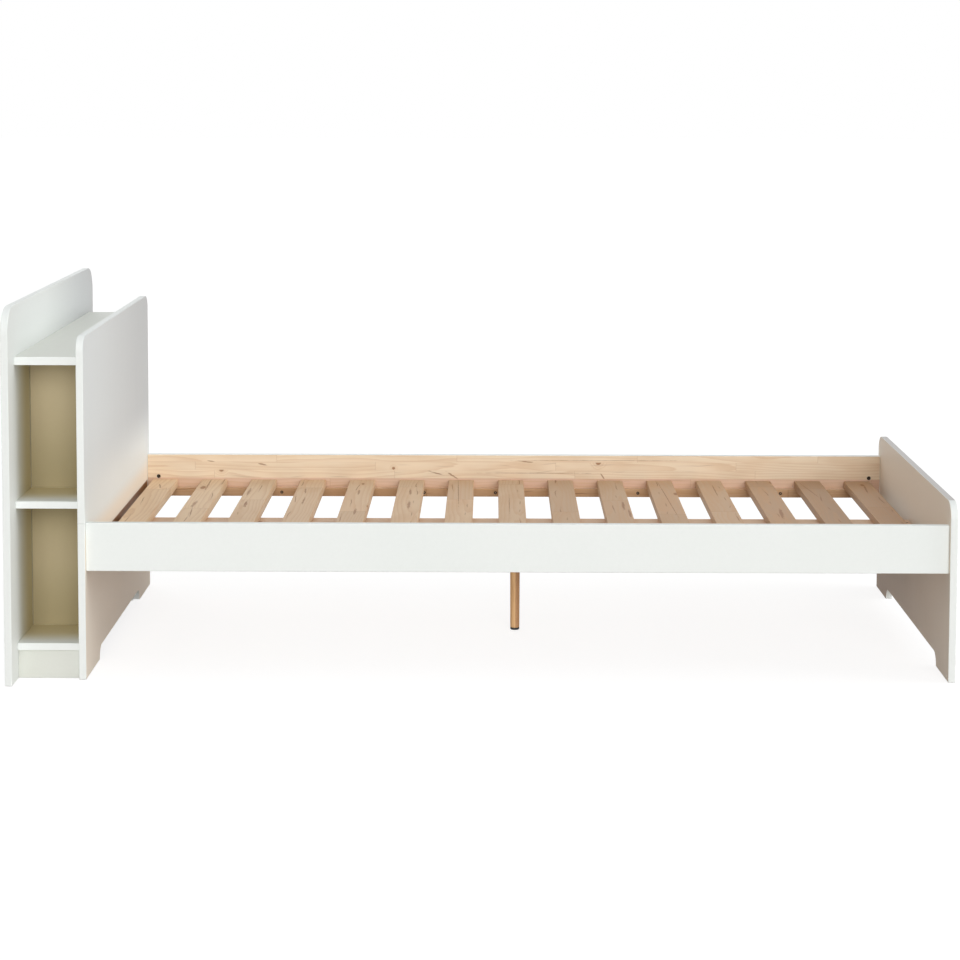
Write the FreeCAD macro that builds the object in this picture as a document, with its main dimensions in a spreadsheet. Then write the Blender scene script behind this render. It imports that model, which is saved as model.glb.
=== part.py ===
import FreeCAD, Part
import math
import os
import Sketcher

# Bookcase headboard bed, single size.  Millimetres, +X from headboard to
# footboard, +Y from the near side to the far side, +Z up.  The origin is on
# the floor under the middle of the bed's outer box.
#
# The headboard is a tall back panel and a lower front panel with a shelf
# between them and an open two-tier compartment at each side.  Two rails are
# bolted between the headboard and the footboard.  Battens on the rails and a
# centre beam on a leg carry the slats.

Vector = FreeCAD.Vector
RIGHT_ANGLE = math.pi / 2

doc = FreeCAD.newDocument("BookcaseHeadboardBed")
sheet = doc.addObject("Spreadsheet::Sheet", "Sizes")

SIZES = (
    ("mattress_length", 1910, "clear length between head end and footboard"),
    ("mattress_width", 910, "clear width between the rails"),
    ("board", 16, "thickness of the painted boards"),
    ("edge_ease", 0.8, "bevel on every board edge"),
    ("fit_gap", 0.2, "clearance round pins and bolts in their bores"),
    # side rails
    ("rail_thickness", 18, "thickness of a side rail"),
    ("rail_height", 108, "height of a side rail"),
    ("rail_top", 350, "floor to the top of the rails"),
    ("rail_inset", 12, "rail face behind the edge of the end panels"),
    # end panels
    ("footboard_height", 403, "floor to the top of the footboard"),
    ("footboard_corner", 40, "radius of the footboard's top corners"),
    ("footboard_arch", 340, "half length of the footboard's floor arch"),
    ("head_arch", 305, "half length of the head end's floor arch"),
    ("arch_rise", 29, "height of both floor arches"),
    ("front_top", 765, "floor to the top of the front panel"),
    ("front_corner", 35, "radius of the front panel's top corners"),
    ("back_top", 834, "floor to the top of the back panel"),
    ("back_corner", 60, "radius of the back panel's top corners"),
    ("back_overhang", 58, "back panel beyond the front panel, each side"),
    # bookcase
    ("shelf_depth", 137, "clear depth between back and front panels"),
    ("shelf_setback", 5, "shelf edges behind the front panel's edge"),
    ("compartment_reach", 174, "shelf edge to the divider"),
    ("top_shelf_thickness", 18, "thickness of the top shelf"),
    ("top_shelf_level", 720, "floor to the face of the top shelf"),
    ("middle_shelf_level", 399, "floor to the face of the middle shelves"),
    ("bottom_shelf_level", 81, "floor to the face of the bottom shelves"),
    ("plinth_setback", 10, "plinth face behind the shelf edges"),
    # slats and what carries them
    ("slat_count", 15, "number of slats"),
    ("slat_width", 66, "width of a slat"),
    ("slat_thickness", 20, "thickness of a slat"),
    ("slat_bevel", 2, "bevel on the edges of a slat"),
    ("slat_head_gap", 14.7, "head end to the first slat"),
    ("slat_foot_gap", 28.9, "last slat to the footboard"),
    ("slat_end_gap", 3, "slat end to the rail"),
    ("batten_lift", 2, "bottom of the rail to the bottom of the batten"),
    ("batten_height", 21, "height of a batten"),
    ("batten_width", 20, "width of a batten"),
    ("batten_head_gap", 10, "head end to the battens"),
    ("batten_foot_gap", 29, "battens to the footboard"),
    ("beam_width", 70, "width of the centre beam"),
    ("beam_thickness", 20, "thickness of the centre beam"),
    ("beam_end_gap", 1, "beam end to the end panels"),
    ("block_length", 110, "length of a beam block across the bed"),
    ("block_height", 40, "height of a beam block"),
    ("block_thickness", 20, "thickness of a beam block"),
    # centre leg
    ("leg_top_radius", 12, "radius of the leg at the beam"),
    ("leg_foot_radius", 11, "radius of the leg at the glide"),
    ("glide_height", 5.5, "height of the glide"),
    ("glide_radius", 11, "radius of the glide"),
    ("glide_bevel", 2, "bevel on the glide's lower edge"),
    ("glide_pin_radius", 2, "radius of the glide's pin"),
    ("glide_pin_length", 14, "length of the glide's pin"),
    ("hanger_radius", 4, "radius of the leg's hanger bolt"),
    ("hanger_in_leg", 40, "hanger bolt inside the leg"),
    ("hanger_in_beam", 14, "hanger bolt inside the beam"),
    ("insert_radius", 6, "radius of the threaded insert"),
    ("insert_length", 13, "length of the threaded insert"),
    # rail joints
    ("bolt_radius", 3, "radius of a bed bolt"),
    ("bolt_lift", 50, "bottom of the rail to the bed bolt"),
    ("bolt_past_nut", 6, "bolt beyond the barrel nut's centre"),
    ("bolt_head_radius", 7.5, "radius of a bolt head"),
    ("bolt_head_height", 2.5, "height of a bolt head"),
    ("key_radius", 2.3, "centre to corner of the hexagon socket"),
    ("key_depth", 3.5, "depth of the hexagon socket"),
    ("nut_radius", 5, "radius of a barrel nut"),
    ("nut_length", 14, "length of a barrel nut"),
    ("nut_reach", 29, "rail end to the barrel nut's centre"),
    ("dowel_radius", 4, "radius of the wooden dowels"),
    ("dowel_length", 30, "length of the wooden dowels"),
    ("dowel_in_face", 10, "dowel inside the face of a board"),
    ("rail_dowel_spread", 25, "rail dowels above and below the bed bolt"),
    # shelf fittings
    ("cam_radius", 7.5, "radius of a cam disc"),
    ("cam_cover", 3.4, "board left over a cam disc"),
    ("cam_reach", 34, "board end to the centre of its cam disc"),
    ("cam_bolt_radius", 3, "radius of a cam bolt"),
    ("cam_bolt_in_face", 11, "cam bolt inside the panel"),
    ("slot_width", 1, "width of the barrel nuts' driver slot"),
    ("slot_depth", 1.4, "depth of the barrel nuts' driver slot"),
    # screws
    ("screw_radius", 2, "radius of a wood screw"),
    ("screw_head_radius", 4, "radius of a screw's head"),
    ("screw_head_depth", 2.5, "depth of a screw's head"),
    ("screw_bite", 10, "screw inside the piece that holds it"),
    ("batten_screw_count", 10, "screws in each batten"),
    ("batten_screw_head_inset", 157, "batten's head end to its first screw"),
    ("batten_screw_foot_inset", 47, "batten's foot end to its last screw"),
)

for row, (alias, value, meaning) in enumerate(SIZES, start=1):
    sheet.set("A%d" % row, meaning)
    sheet.set("B%d" % row, str(value))
    sheet.setAlias("B%d" % row, alias)
doc.recompute()


def size(alias):
    """The value of one driving size, for starting points and counts."""
    return float(sheet.get(alias))


def add(*terms):
    """One formula for the sum of several formulas."""
    return "(" + " + ".join(terms) + ")"


def less(first, *rest):
    """One formula for the first term with the others taken away."""
    return "(" + " - ".join((first,) + rest) + ")"


def times(formula, factor):
    """One formula for a formula multiplied by a plain number."""
    return "(%s * %s)" % (formula, factor)


class Named:
    """Sizes.alias for each driving size, read as an attribute."""

    def __getattr__(self, alias):
        return "Sizes." + alias


s = Named()

# ---------------------------------------------------------------- places

HALF_PANEL = add(times(s.mattress_width, 0.5), s.rail_thickness, s.rail_inset)
HALF_BACK = add(HALF_PANEL, s.back_overhang)
HALF_SHELF = less(HALF_PANEL, s.shelf_setback)
DIVIDER_FACE = less(HALF_SHELF, s.compartment_reach)
PLINTH_FACE = less(HALF_SHELF, s.plinth_setback)
HALF_CLEAR = times(s.mattress_width, 0.5)
RAIL_FACE = add(HALF_CLEAR, s.rail_thickness)
RAIL_MIDDLE = add(HALF_CLEAR, times(s.rail_thickness, 0.5))

HEAD_LENGTH = add(s.board, s.shelf_depth, s.board)
BED_LENGTH = add(s.mattress_length, s.board, s.bolt_head_height)
HEAD_FACE = times(less(HEAD_LENGTH, BED_LENGTH), 0.5)
FRONT_BACK = less(HEAD_FACE, s.board)
SHELF_BACK = less(FRONT_BACK, s.shelf_depth)
BACK_OUTSIDE = less(SHELF_BACK, s.board)
FOOT_FACE = add(HEAD_FACE, s.mattress_length)
MIDDLE = add(HEAD_FACE, times(s.mattress_length, 0.5))

RAIL_BOTTOM = less(s.rail_top, s.rail_height)
BATTEN_BOTTOM = add(RAIL_BOTTOM, s.batten_lift)
BEARER_TOP = add(BATTEN_BOTTOM, s.batten_height)
BEAM_BOTTOM = less(BEARER_TOP, s.beam_thickness)
BOLT_LEVEL = add(RAIL_BOTTOM, s.bolt_lift)
TOP_SHELF_UNDER = less(s.top_shelf_level, s.top_shelf_thickness)
PLINTH_HEIGHT = less(s.bottom_shelf_level, s.board)

SLAT_LENGTH = less(s.mattress_width, times(s.slat_end_gap, 2))
SLAT_RUN = less(s.mattress_length, s.slat_head_gap, s.slat_foot_gap, s.slat_width)
BATTEN_LENGTH = less(s.mattress_length, s.batten_head_gap, s.batten_foot_gap)
CAM_HEIGHT = less(s.board, s.cam_cover)
LEG_AXIS = (MIDDLE, "0")

# Small pins and their bores, the screws, the barrel nuts and the leg have
# flat sides, to keep the facets down.
PIN_SIDES = 8
SCREW_SIDES = 6
NUT_SIDES = 16
LEG_SIDES = 24

NEAR, FAR = -1, 1
SIDES = (("near", NEAR), ("far", FAR))

# ---------------------------------------------------------------- helpers

TURN = {
    "+X": FreeCAD.Rotation(Vector(0, 1, 0), 90),
    "-X": FreeCAD.Rotation(Vector(0, 1, 0), -90),
    "+Y": FreeCAD.Rotation(Vector(1, 0, 0), -90),
    "-Y": FreeCAD.Rotation(Vector(1, 0, 0), 90),
    "+Z": FreeCAD.Rotation(),
    "-Z": FreeCAD.Rotation(Vector(1, 0, 0), 180),
}
REVERSE = {"+X": "-X", "-X": "+X", "+Y": "-Y", "-Y": "+Y", "+Z": "-Z", "-Z": "+Z"}

nodes = {}
bores = {}


def bind(thing, prop, formula):
    thing.setExpression(prop, formula)


def put(thing, at):
    """Bind a piece's place to three formulas."""
    for axis, formula in zip("xyz", at):
        bind(thing, "Placement.Base." + axis, formula)


def along(side, formula):
    """A distance from the bed's centre line, towards one side."""
    return times(formula, side)


def facing(side):
    """Outward direction on one side of the bed."""
    return "+Y" if side == FAR else "-Y"


def move(at, direction, formula):
    """A point moved by a distance in one of the six directions."""
    axis = "XYZ".index(direction[1])
    sign = 1 if direction[0] == "+" else -1
    place = list(at)
    place[axis] = add(place[axis], times(formula, sign))
    return tuple(place)


def rod(name, radius, length, at, direction="+Z", sides=None):
    """A bar from a point, towards a direction: round, or with flat sides."""
    bar = doc.addObject("Part::Prism" if sides else "Part::Cylinder", name)
    bar.Placement = FreeCAD.Placement(Vector(), TURN[direction])
    if sides:
        bar.Polygon = sides
    bind(bar, "Circumradius" if sides else "Radius", radius)
    bind(bar, "Height", length)
    put(bar, at)
    return bar


def ring(name, radius, level, sides):
    """A level polygon round the leg's axis, one section of the leg."""
    section = doc.addObject("Part::RegularPolygon", name)
    section.Polygon = sides
    bind(section, "Circumradius", radius)
    put(section, LEG_AXIS + (level,))
    return section


def slot(name, length, at, direction):
    """A driver slot, centred on a point and cut in from it."""
    cutter = doc.addObject("Part::Box", name)
    cutter.Placement = FreeCAD.Placement(Vector(), TURN[direction])
    bind(cutter, "Length", length)
    bind(cutter, "Width", s.slot_width)
    bind(cutter, "Height", s.slot_depth)
    length_way = TURN[direction].multVec(Vector(1, 0, 0))
    width_way = TURN[direction].multVec(Vector(0, 1, 0))
    put(cutter, [add(place, times(length, -0.5 * round(a)), times(s.slot_width, -0.5 * round(b)))
                 for place, a, b in zip(at, length_way, width_way)])
    return cutter


def join(name, pieces):
    whole = doc.addObject("Part::MultiFuse", name)
    whole.Shapes = pieces
    return whole


def carve(name, blank, tool):
    result = doc.addObject("Part::Cut", name)
    result.Base = blank
    result.Tool = tool
    return result


def bore(owner, radius, length, at, direction, sides=PIN_SIDES):
    """Remember a hole to be cut in a node, with clearance."""
    tool = rod("Bore_" + owner, add(radius, s.fit_gap), length, at, direction, sides)
    bores.setdefault(owner, []).append(tool)


def node(name, blank):
    """Cut a blank's holes and record it as a node under its own label."""
    tools = bores.pop(name, [])
    if tools:
        tool = tools[0] if len(tools) == 1 else join("Bores_" + name, tools)
        piece = carve("Piece_" + name, blank, tool)
    else:
        piece = blank
    piece.Label = name
    nodes[name] = piece
    return piece


def group(name, pieces):
    """Identical loose fasteners kept as separate solids in one node."""
    compound = doc.addObject("Part::Compound", "Group_" + name)
    compound.Links = pieces
    compound.Label = name
    nodes[name] = compound


def new_body(name, plane_role):
    """A body with an empty sketch on one of its own origin planes."""
    body = doc.addObject("PartDesign::Body", "Body_" + name)
    body.Label = name + " blank"
    sketch = body.newObject("Sketcher::SketchObject", "Sketch_" + name)
    plane = next(p for p in body.Origin.OriginFeatures if p.Role == plane_role)
    sketch.AttachmentSupport = [(plane, "")]
    sketch.MapMode = "FlatFace"
    return body, sketch


def pad_of(body, sketch, length):
    pad = body.newObject("PartDesign::Pad", "Pad_" + body.Name)
    pad.Profile = sketch
    bind(pad, "Length", length)
    return pad


def ease_edges(body, feature, amount):
    """Bevel every edge of a body's blank."""
    bevel = body.newObject("PartDesign::Chamfer", "Ease_" + body.Name)
    bevel.Base = (feature, [""])
    bevel.UseAllEdges = True
    bind(bevel, "Size", amount)


def constrain(sketch, name, formula, *constraint):
    """Add a dimension, name it and bind it to a formula."""
    index = sketch.addConstraint(Sketcher.Constraint(*constraint))
    sketch.renameConstraint(index, name)
    bind(sketch, "Constraints." + name, formula)


def relate(sketch, *constraints):
    for constraint in constraints:
        sketch.addConstraint(Sketcher.Constraint(*constraint))


START, END, CENTRE = range(1, 4)
ORIGIN_POINT, HORIZONTAL_AXIS, VERTICAL_AXIS = -1, -1, -2


class Outline:
    """A closed outline drawn step by step, with its joints constrained."""

    def __init__(self, sketch):
        self.sketch = sketch
        self.steps = []

    def line(self, x1, y1, x2, y2, sharp=False):
        """A straight line.  A sharp step ends in a corner."""
        line = Part.LineSegment(Vector(x1, y1, 0), Vector(x2, y2, 0))
        index = self.sketch.addGeometry(line, False)
        if x1 == x2 or y1 == y2:
            relate(self.sketch, ("Horizontal" if y1 == y2 else "Vertical", index))
        self.steps.append((index, START, END, False, sharp))
        return index

    def quarter(self, x, y, radius, quadrant, backwards=False, sharp=False):
        """A quarter circle in one quadrant of its centre."""
        circle = Part.Circle(Vector(x, y, 0), Vector(0, 0, 1), radius)
        start = (quadrant - 1) * RIGHT_ANGLE
        arc = Part.ArcOfCircle(circle, start, start + RIGHT_ANGLE)
        index = self.sketch.addGeometry(arc, False)
        ends = (END, START) if backwards else (START, END)
        self.steps.append((index, ends[0], ends[1], True, sharp))
        return index

    def close(self):
        """Join every step to the next, smoothly where an arc is met."""
        for step, following in zip(self.steps, self.steps[1:] + self.steps[:1]):
            index, _, last, round_step, sharp = step
            after, first, _, round_next, _ = following
            smooth = (round_step or round_next) and not sharp
            relate(self.sketch, ("Tangent" if smooth else "Coincident", index, last, after, first))


def start_at_origin(sketch, index):
    relate(sketch, ("PointOnObject", index, START, HORIZONTAL_AXIS),
           ("PointOnObject", index, START, VERTICAL_AXIS))


def board(name, lengths, at, ease=s.edge_ease):
    """A plain board: rectangle, pad and eased edges, placed by its corner."""
    body, sketch = new_body(name, "XY_Plane")
    across, deep = 100.0, 50.0
    outline = Outline(sketch)
    front = outline.line(0, 0, across, 0)
    side = outline.line(across, 0, across, deep)
    outline.line(across, deep, 0, deep)
    outline.line(0, deep, 0, 0)
    outline.close()
    start_at_origin(sketch, front)
    constrain(sketch, "across", lengths[0], "DistanceX", front, START, front, END, across)
    constrain(sketch, "deep", lengths[1], "DistanceY", side, START, side, END, deep)
    ease_edges(body, pad_of(body, sketch, lengths[2]), ease)
    put(body, at)
    return body


def upright(name, height, at, half_width=HALF_PANEL, corner=None, arch=None):
    """An upright panel.  Its top corners may be round, and it may stand on
    two feet with a low floor arch whose ends are quarter circles."""
    body, sketch = new_body(name, "YZ_Plane")
    w, h, a, rise = 400.0, 500.0, 300.0, 30.0
    r = 50.0 if corner else 0.0
    outline = Outline(sketch)
    left = outline.line(-w, 0, -w, h - r)
    if corner:
        left_corner = outline.quarter(-w + r, h - r, r, 2, backwards=True)
    top = outline.line(-w + r, h, w - r, h)
    if corner:
        right_corner = outline.quarter(w - r, h - r, r, 1, backwards=True)
    right = outline.line(w, h - r, w, 0)
    if arch:
        right_foot = outline.line(w, 0, a, 0, sharp=True)
        right_end = outline.quarter(a - rise, 0, rise, 1)
        outline.line(a - rise, rise, -a + rise, rise)
        left_end = outline.quarter(-a + rise, 0, rise, 2, sharp=True)
        left_foot = outline.line(-a, 0, -w, 0)
    else:
        outline.line(w, 0, -w, 0)
    outline.close()
    relate(sketch, ("PointOnObject", left, START, HORIZONTAL_AXIS))
    constrain(sketch, "width", times(half_width, 2), "DistanceX", left, START, right, END, 2 * w)
    constrain(sketch, "half", half_width, "DistanceX", ORIGIN_POINT, START, right, END, w)
    constrain(sketch, "height", height, "DistanceY", left, START, top, START, h)
    if corner:
        relate(sketch, ("Equal", left_corner, right_corner))
        constrain(sketch, "corner", corner, "Radius", left_corner, r)
    if arch:
        relate(sketch, ("PointOnObject", right, END, HORIZONTAL_AXIS),
               ("PointOnObject", right_end, CENTRE, HORIZONTAL_AXIS),
               ("PointOnObject", left_end, CENTRE, HORIZONTAL_AXIS))
        constrain(sketch, "arch", times(arch, 2),
                  "DistanceX", left_foot, START, right_foot, END, 2 * a)
        constrain(sketch, "half_arch", arch,
                  "DistanceX", ORIGIN_POINT, START, right_foot, END, a)
        constrain(sketch, "rise", s.arch_rise, "Radius", right_end, rise)
    ease_edges(body, pad_of(body, sketch, s.board), s.edge_ease)
    put(body, at)
    return body


def glide_blank():
    """The foot cap, turned: a disc with a bevelled lower edge and a pin."""
    body, sketch = new_body("leg_glide", "XZ_Plane")
    r, e, p, t, n = 12.0, 2.0, 1.5, 5.0, 15.0
    outline = Outline(sketch)
    sole = outline.line(0, 0, r - e, 0)
    edge = outline.line(r - e, 0, r, e)
    rim = outline.line(r, e, r, t)
    outline.line(r, t, p, t)
    pin = outline.line(p, t, p, t + n)
    outline.line(p, t + n, 0, t + n)
    outline.line(0, t + n, 0, 0)
    outline.close()
    start_at_origin(sketch, sole)
    constrain(sketch, "bevel_out", s.glide_bevel, "DistanceX", edge, START, edge, END, e)
    constrain(sketch, "bevel_up", s.glide_bevel, "DistanceY", edge, START, edge, END, e)
    constrain(sketch, "radius", s.glide_radius, "DistanceX", sole, START, rim, START, r)
    constrain(sketch, "height", s.glide_height, "DistanceY", sole, START, rim, END, t)
    constrain(sketch, "pin", s.glide_pin_radius, "DistanceX", sole, START, pin, START, p)
    constrain(sketch, "pin_length", s.glide_pin_length, "DistanceY", pin, START, pin, END, n)
    turned = body.newObject("PartDesign::Revolution", "Turned_leg_glide")
    turned.Profile = sketch
    turned.ReferenceAxis = (sketch, ["V_Axis"])
    put(body, LEG_AXIS + ("0",))
    return body


# ---------------------------------------------------------------- fasteners

def dowel(owner, other, at, direction, in_owner=s.dowel_in_face):
    """A wooden dowel across the joint of two pieces at a point: it stands in
    the owner behind the point and in the other piece beyond it."""
    in_other = less(s.dowel_length, in_owner)
    bore(owner, s.dowel_radius, add(in_owner, s.fit_gap), at, REVERSE[direction])
    bore(other, s.dowel_radius, add(in_other, s.fit_gap), at, direction)
    start = move(at, REVERSE[direction], in_owner)
    wood_dowels.append(rod("Dowel", s.dowel_radius, s.dowel_length, start, direction, PIN_SIDES))


def screw(through, into, at, direction, thickness):
    """A screw with a flush head, through one piece and into another."""
    length = add(thickness, s.screw_bite)
    head = rod("ScrewHead", s.screw_head_radius, s.screw_head_depth, at, direction, SCREW_SIDES)
    shank = rod("ScrewShank", s.screw_radius, length, at, direction, SCREW_SIDES)
    wood_screws.append(join("Screw", [head, shank]))
    bore(through, s.screw_head_radius, s.screw_head_depth, at, direction, SCREW_SIDES)
    bore(through, s.screw_radius, thickness, at, direction, SCREW_SIDES)
    bore(into, s.screw_radius, add(s.screw_bite, s.fit_gap), move(at, direction, thickness),
         direction, SCREW_SIDES)


def bed_bolt(panel, rail, side, face, direction):
    """The bolt and the barrel nut that hold one end of a rail.  The direction
    points from the end panel into the rail."""
    joint = (face, along(side, RAIL_MIDDLE), BOLT_LEVEL)
    seat = move(joint, REVERSE[direction], s.board)
    crown = move(seat, REVERSE[direction], s.bolt_head_height)
    into_rail = add(s.nut_reach, s.bolt_past_nut)
    head = rod("BoltHead", s.bolt_head_radius, s.bolt_head_height, crown, direction)
    shank = rod("BoltShank", s.bolt_radius, add(s.board, into_rail), seat, direction, PIN_SIDES)
    key = rod("BoltKey", s.key_radius, s.key_depth, crown, direction, sides=6)
    bed_bolts.append(carve("Bolt", join("BoltBlank", [head, shank]), key))
    bore(panel, s.bolt_radius, s.board, seat, direction)
    bore(rail, s.bolt_radius, add(into_rail, s.fit_gap), joint, direction)

    axis = move(joint, direction, s.nut_reach)
    mouth = (axis[0], along(side, HALF_CLEAR), BOLT_LEVEL)
    barrel = rod("Barrel", s.nut_radius, s.nut_length, mouth, facing(side), NUT_SIDES)
    thread = rod("BarrelThread", add(s.bolt_radius, s.fit_gap), times(s.nut_radius, 4),
                 move(axis, REVERSE[direction], times(s.nut_radius, 2)), direction, PIN_SIDES)
    mark = slot("BarrelSlot", times(s.nut_radius, 3), mouth, facing(side))
    barrel_nuts.append(carve("Nut", barrel, join("NutTools", [thread, mark])))
    bore(rail, s.nut_radius, add(s.nut_length, s.fit_gap), mouth, facing(side), NUT_SIDES)


def cam_fitting(panel, shelf, at, direction, open_face, disc_direction):
    """A cam bolt screwed in a panel, and the disc that it meets in a board.
    The direction points from the panel into the board, at the bolt's axis,
    and the disc is let in from the open face's point."""
    reach = less(s.cam_reach, s.cam_radius, s.fit_gap)
    start = move(at, REVERSE[direction], s.cam_bolt_in_face)
    cam_bolts.append(rod("CamBolt", s.cam_bolt_radius, add(s.cam_bolt_in_face, reach),
                         start, direction, PIN_SIDES))
    bore(panel, s.cam_bolt_radius, add(s.cam_bolt_in_face, s.fit_gap), at, REVERSE[direction])
    bore(shelf, s.cam_bolt_radius, s.cam_reach, at, direction)
    centre = move(open_face, direction, s.cam_reach)
    cam_discs.append(rod("Cam", s.cam_radius, CAM_HEIGHT, centre, disc_direction, PIN_SIDES))
    bore(shelf, s.cam_radius, add(CAM_HEIGHT, s.fit_gap), centre, disc_direction)


def pair_along_shelf():
    """The places along the shelf depth of a pair of dowels."""
    return [add(SHELF_BACK, times(s.shelf_depth, share)) for share in (0.25, 0.75)]


# ---------------------------------------------------------------- fittings

bed_bolts, barrel_nuts, wood_dowels, wood_screws = [], [], [], []
cam_bolts, cam_discs = [], []

for side_name, side in SIDES:
    rail = "side_rail_" + side_name
    for panel, face, direction in (("head_end_panel", HEAD_FACE, "+X"),
                                   ("footboard", FOOT_FACE, "-X")):
        bed_bolt(panel, rail, side, face, direction)
        for sign in (-1, 1):
            level = add(BOLT_LEVEL, times(s.rail_dowel_spread, sign))
            dowel(panel, rail, (face, along(side, RAIL_MIDDLE), level), direction)

BOARD_MIDDLE = times(s.board, 0.5)
PANEL_DOWEL_SHARES = (-0.86, -0.4, 0.4, 0.86)
for share in PANEL_DOWEL_SHARES:
    dowel("head_end_panel", "front_panel",
          (less(HEAD_FACE, BOARD_MIDDLE), times(HALF_PANEL, share), s.rail_top), "+Z",
          times(s.dowel_length, 0.5))

UPPER_PANELS = (("back_panel", SHELF_BACK, "+X"), ("front_panel", FRONT_BACK, "-X"))
LOWER_PANELS = (("back_panel", SHELF_BACK, "+X"), ("head_end_panel", FRONT_BACK, "-X"))
DIVIDER_CAMS = ((0.78, UPPER_PANELS), (0.3, LOWER_PANELS))

for side_name, side in SIDES:
    divider = "divider_" + side_name
    inner_face = along(side, less(DIVIDER_FACE, s.board))
    middle = along(side, less(DIVIDER_FACE, BOARD_MIDDLE))
    for share, panels in DIVIDER_CAMS:
        level = times(TOP_SHELF_UNDER, share)
        for panel, face, direction in panels:
            cam_fitting(panel, divider, (face, middle, level), direction,
                        (face, inner_face, level), facing(side))
    for place in pair_along_shelf():
        dowel("top_shelf", divider, (place, middle, TOP_SHELF_UNDER), "-Z")

    shelf_y = along(side, less(HALF_SHELF, times(s.compartment_reach, 0.5)))
    for shelf, top, thickness, panels in (
            ("top_shelf", s.top_shelf_level, s.top_shelf_thickness, UPPER_PANELS),
            ("middle_shelf_" + side_name, s.middle_shelf_level, s.board, UPPER_PANELS),
            ("bottom_shelf_" + side_name, s.bottom_shelf_level, s.board, LOWER_PANELS)):
        axis_level = less(top, times(thickness, 0.5))
        for panel, face, direction in panels:
            cam_fitting(panel, shelf, (face, shelf_y, axis_level), direction,
                        (face, shelf_y, less(top, thickness)), "+Z")
        if shelf != "top_shelf":
            for place in pair_along_shelf():
                dowel(divider, shelf, (place, along(side, DIVIDER_FACE), axis_level),
                      facing(side))

    for place in pair_along_shelf():
        dowel("bottom_shelf_" + side_name, "plinth_" + side_name,
              (place, along(side, less(PLINTH_FACE, BOARD_MIDDLE)), PLINTH_HEIGHT), "-Z")

screw_count = int(size("batten_screw_count"))
SCREW_RUN = less(BATTEN_LENGTH, s.batten_screw_head_inset, s.batten_screw_foot_inset)
for side_name, side in SIDES:
    for index in range(screw_count):
        place = add(HEAD_FACE, s.batten_head_gap, s.batten_screw_head_inset,
                    times(SCREW_RUN, index / (screw_count - 1)))
        screw("batten_" + side_name, "side_rail_" + side_name,
              (place, along(side, less(HALF_CLEAR, s.batten_width)),
               add(BATTEN_BOTTOM, times(s.batten_height, 0.5))),
              facing(side), s.batten_width)

BLOCK_SCREW_SHARE = 0.35
for end, panel, face, outward in (("head", "head_end_panel", HEAD_FACE, "-X"),
                                  ("foot", "footboard", FOOT_FACE, "+X")):
    block = "beam_block_" + end
    for share in (-BLOCK_SCREW_SHARE, BLOCK_SCREW_SHARE):
        on_panel = (face, times(s.block_length, share),
                    less(BEAM_BOTTOM, times(s.block_height, 0.5)))
        screw(block, panel, move(on_panel, REVERSE[outward], s.block_thickness), outward,
              s.block_thickness)
    over_block = move((face, "0", BEARER_TOP), REVERSE[outward], times(s.block_thickness, 0.5))
    screw("centre_beam", block, over_block, "-Z", s.beam_thickness)

hanger = rod("Hanger", s.hanger_radius, add(s.hanger_in_leg, s.hanger_in_beam),
             LEG_AXIS + (less(BEAM_BOTTOM, s.hanger_in_leg),), sides=PIN_SIDES)
bore("centre_leg", s.hanger_radius, add(s.hanger_in_leg, s.fit_gap),
     LEG_AXIS + (BEAM_BOTTOM,), "-Z")
bore("centre_beam", s.hanger_radius, add(s.hanger_in_beam, s.fit_gap),
     LEG_AXIS + (BEAM_BOTTOM,), "+Z")
bore("centre_beam", s.insert_radius, add(s.insert_length, s.fit_gap),
     LEG_AXIS + (BEAM_BOTTOM,), "+Z")
sleeve = rod("Sleeve", s.insert_radius, s.insert_length, LEG_AXIS + (BEAM_BOTTOM,),
             sides=PIN_SIDES)
sleeve_thread = rod("SleeveThread", add(s.hanger_radius, s.fit_gap), s.insert_length,
                    LEG_AXIS + (BEAM_BOTTOM,), sides=PIN_SIDES)
bore("centre_leg", s.glide_pin_radius, add(s.glide_pin_length, s.fit_gap),
     LEG_AXIS + (s.glide_height,), "+Z")

# ---------------------------------------------------------------- headboard

node("back_panel", upright("back_panel", s.back_top, (BACK_OUTSIDE, "0", "0"),
                           half_width=HALF_BACK, corner=s.back_corner))
node("front_panel", upright("front_panel", less(s.front_top, s.rail_top),
                            (FRONT_BACK, "0", s.rail_top), corner=s.front_corner))
node("head_end_panel", upright("head_end_panel", s.rail_top, (FRONT_BACK, "0", "0"),
                               arch=s.head_arch))
node("top_shelf", board("top_shelf", (s.shelf_depth, times(HALF_SHELF, 2),
                                      s.top_shelf_thickness),
                        (SHELF_BACK, times(HALF_SHELF, -1), TOP_SHELF_UNDER)))
for side_name, side in SIDES:
    divider_y = DIVIDER_FACE if side == NEAR else less(DIVIDER_FACE, s.board)
    shelf_y = HALF_SHELF if side == NEAR else DIVIDER_FACE
    plinth_y = PLINTH_FACE if side == NEAR else less(PLINTH_FACE, s.board)
    node("divider_" + side_name,
         board("divider_" + side_name, (s.shelf_depth, s.board, TOP_SHELF_UNDER),
               (SHELF_BACK, along(side, divider_y), "0")))
    for shelf, top in (("middle_shelf_", s.middle_shelf_level),
                       ("bottom_shelf_", s.bottom_shelf_level)):
        node(shelf + side_name,
             board(shelf + side_name, (s.shelf_depth, s.compartment_reach, s.board),
                   (SHELF_BACK, along(side, shelf_y), less(top, s.board))))
    node("plinth_" + side_name,
         board("plinth_" + side_name, (s.shelf_depth, s.board, PLINTH_HEIGHT),
               (SHELF_BACK, along(side, plinth_y), "0")))

# ---------------------------------------------------------------- bed frame

node("footboard", upright("footboard", s.footboard_height, (FOOT_FACE, "0", "0"),
                          corner=s.footboard_corner, arch=s.footboard_arch))

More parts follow.
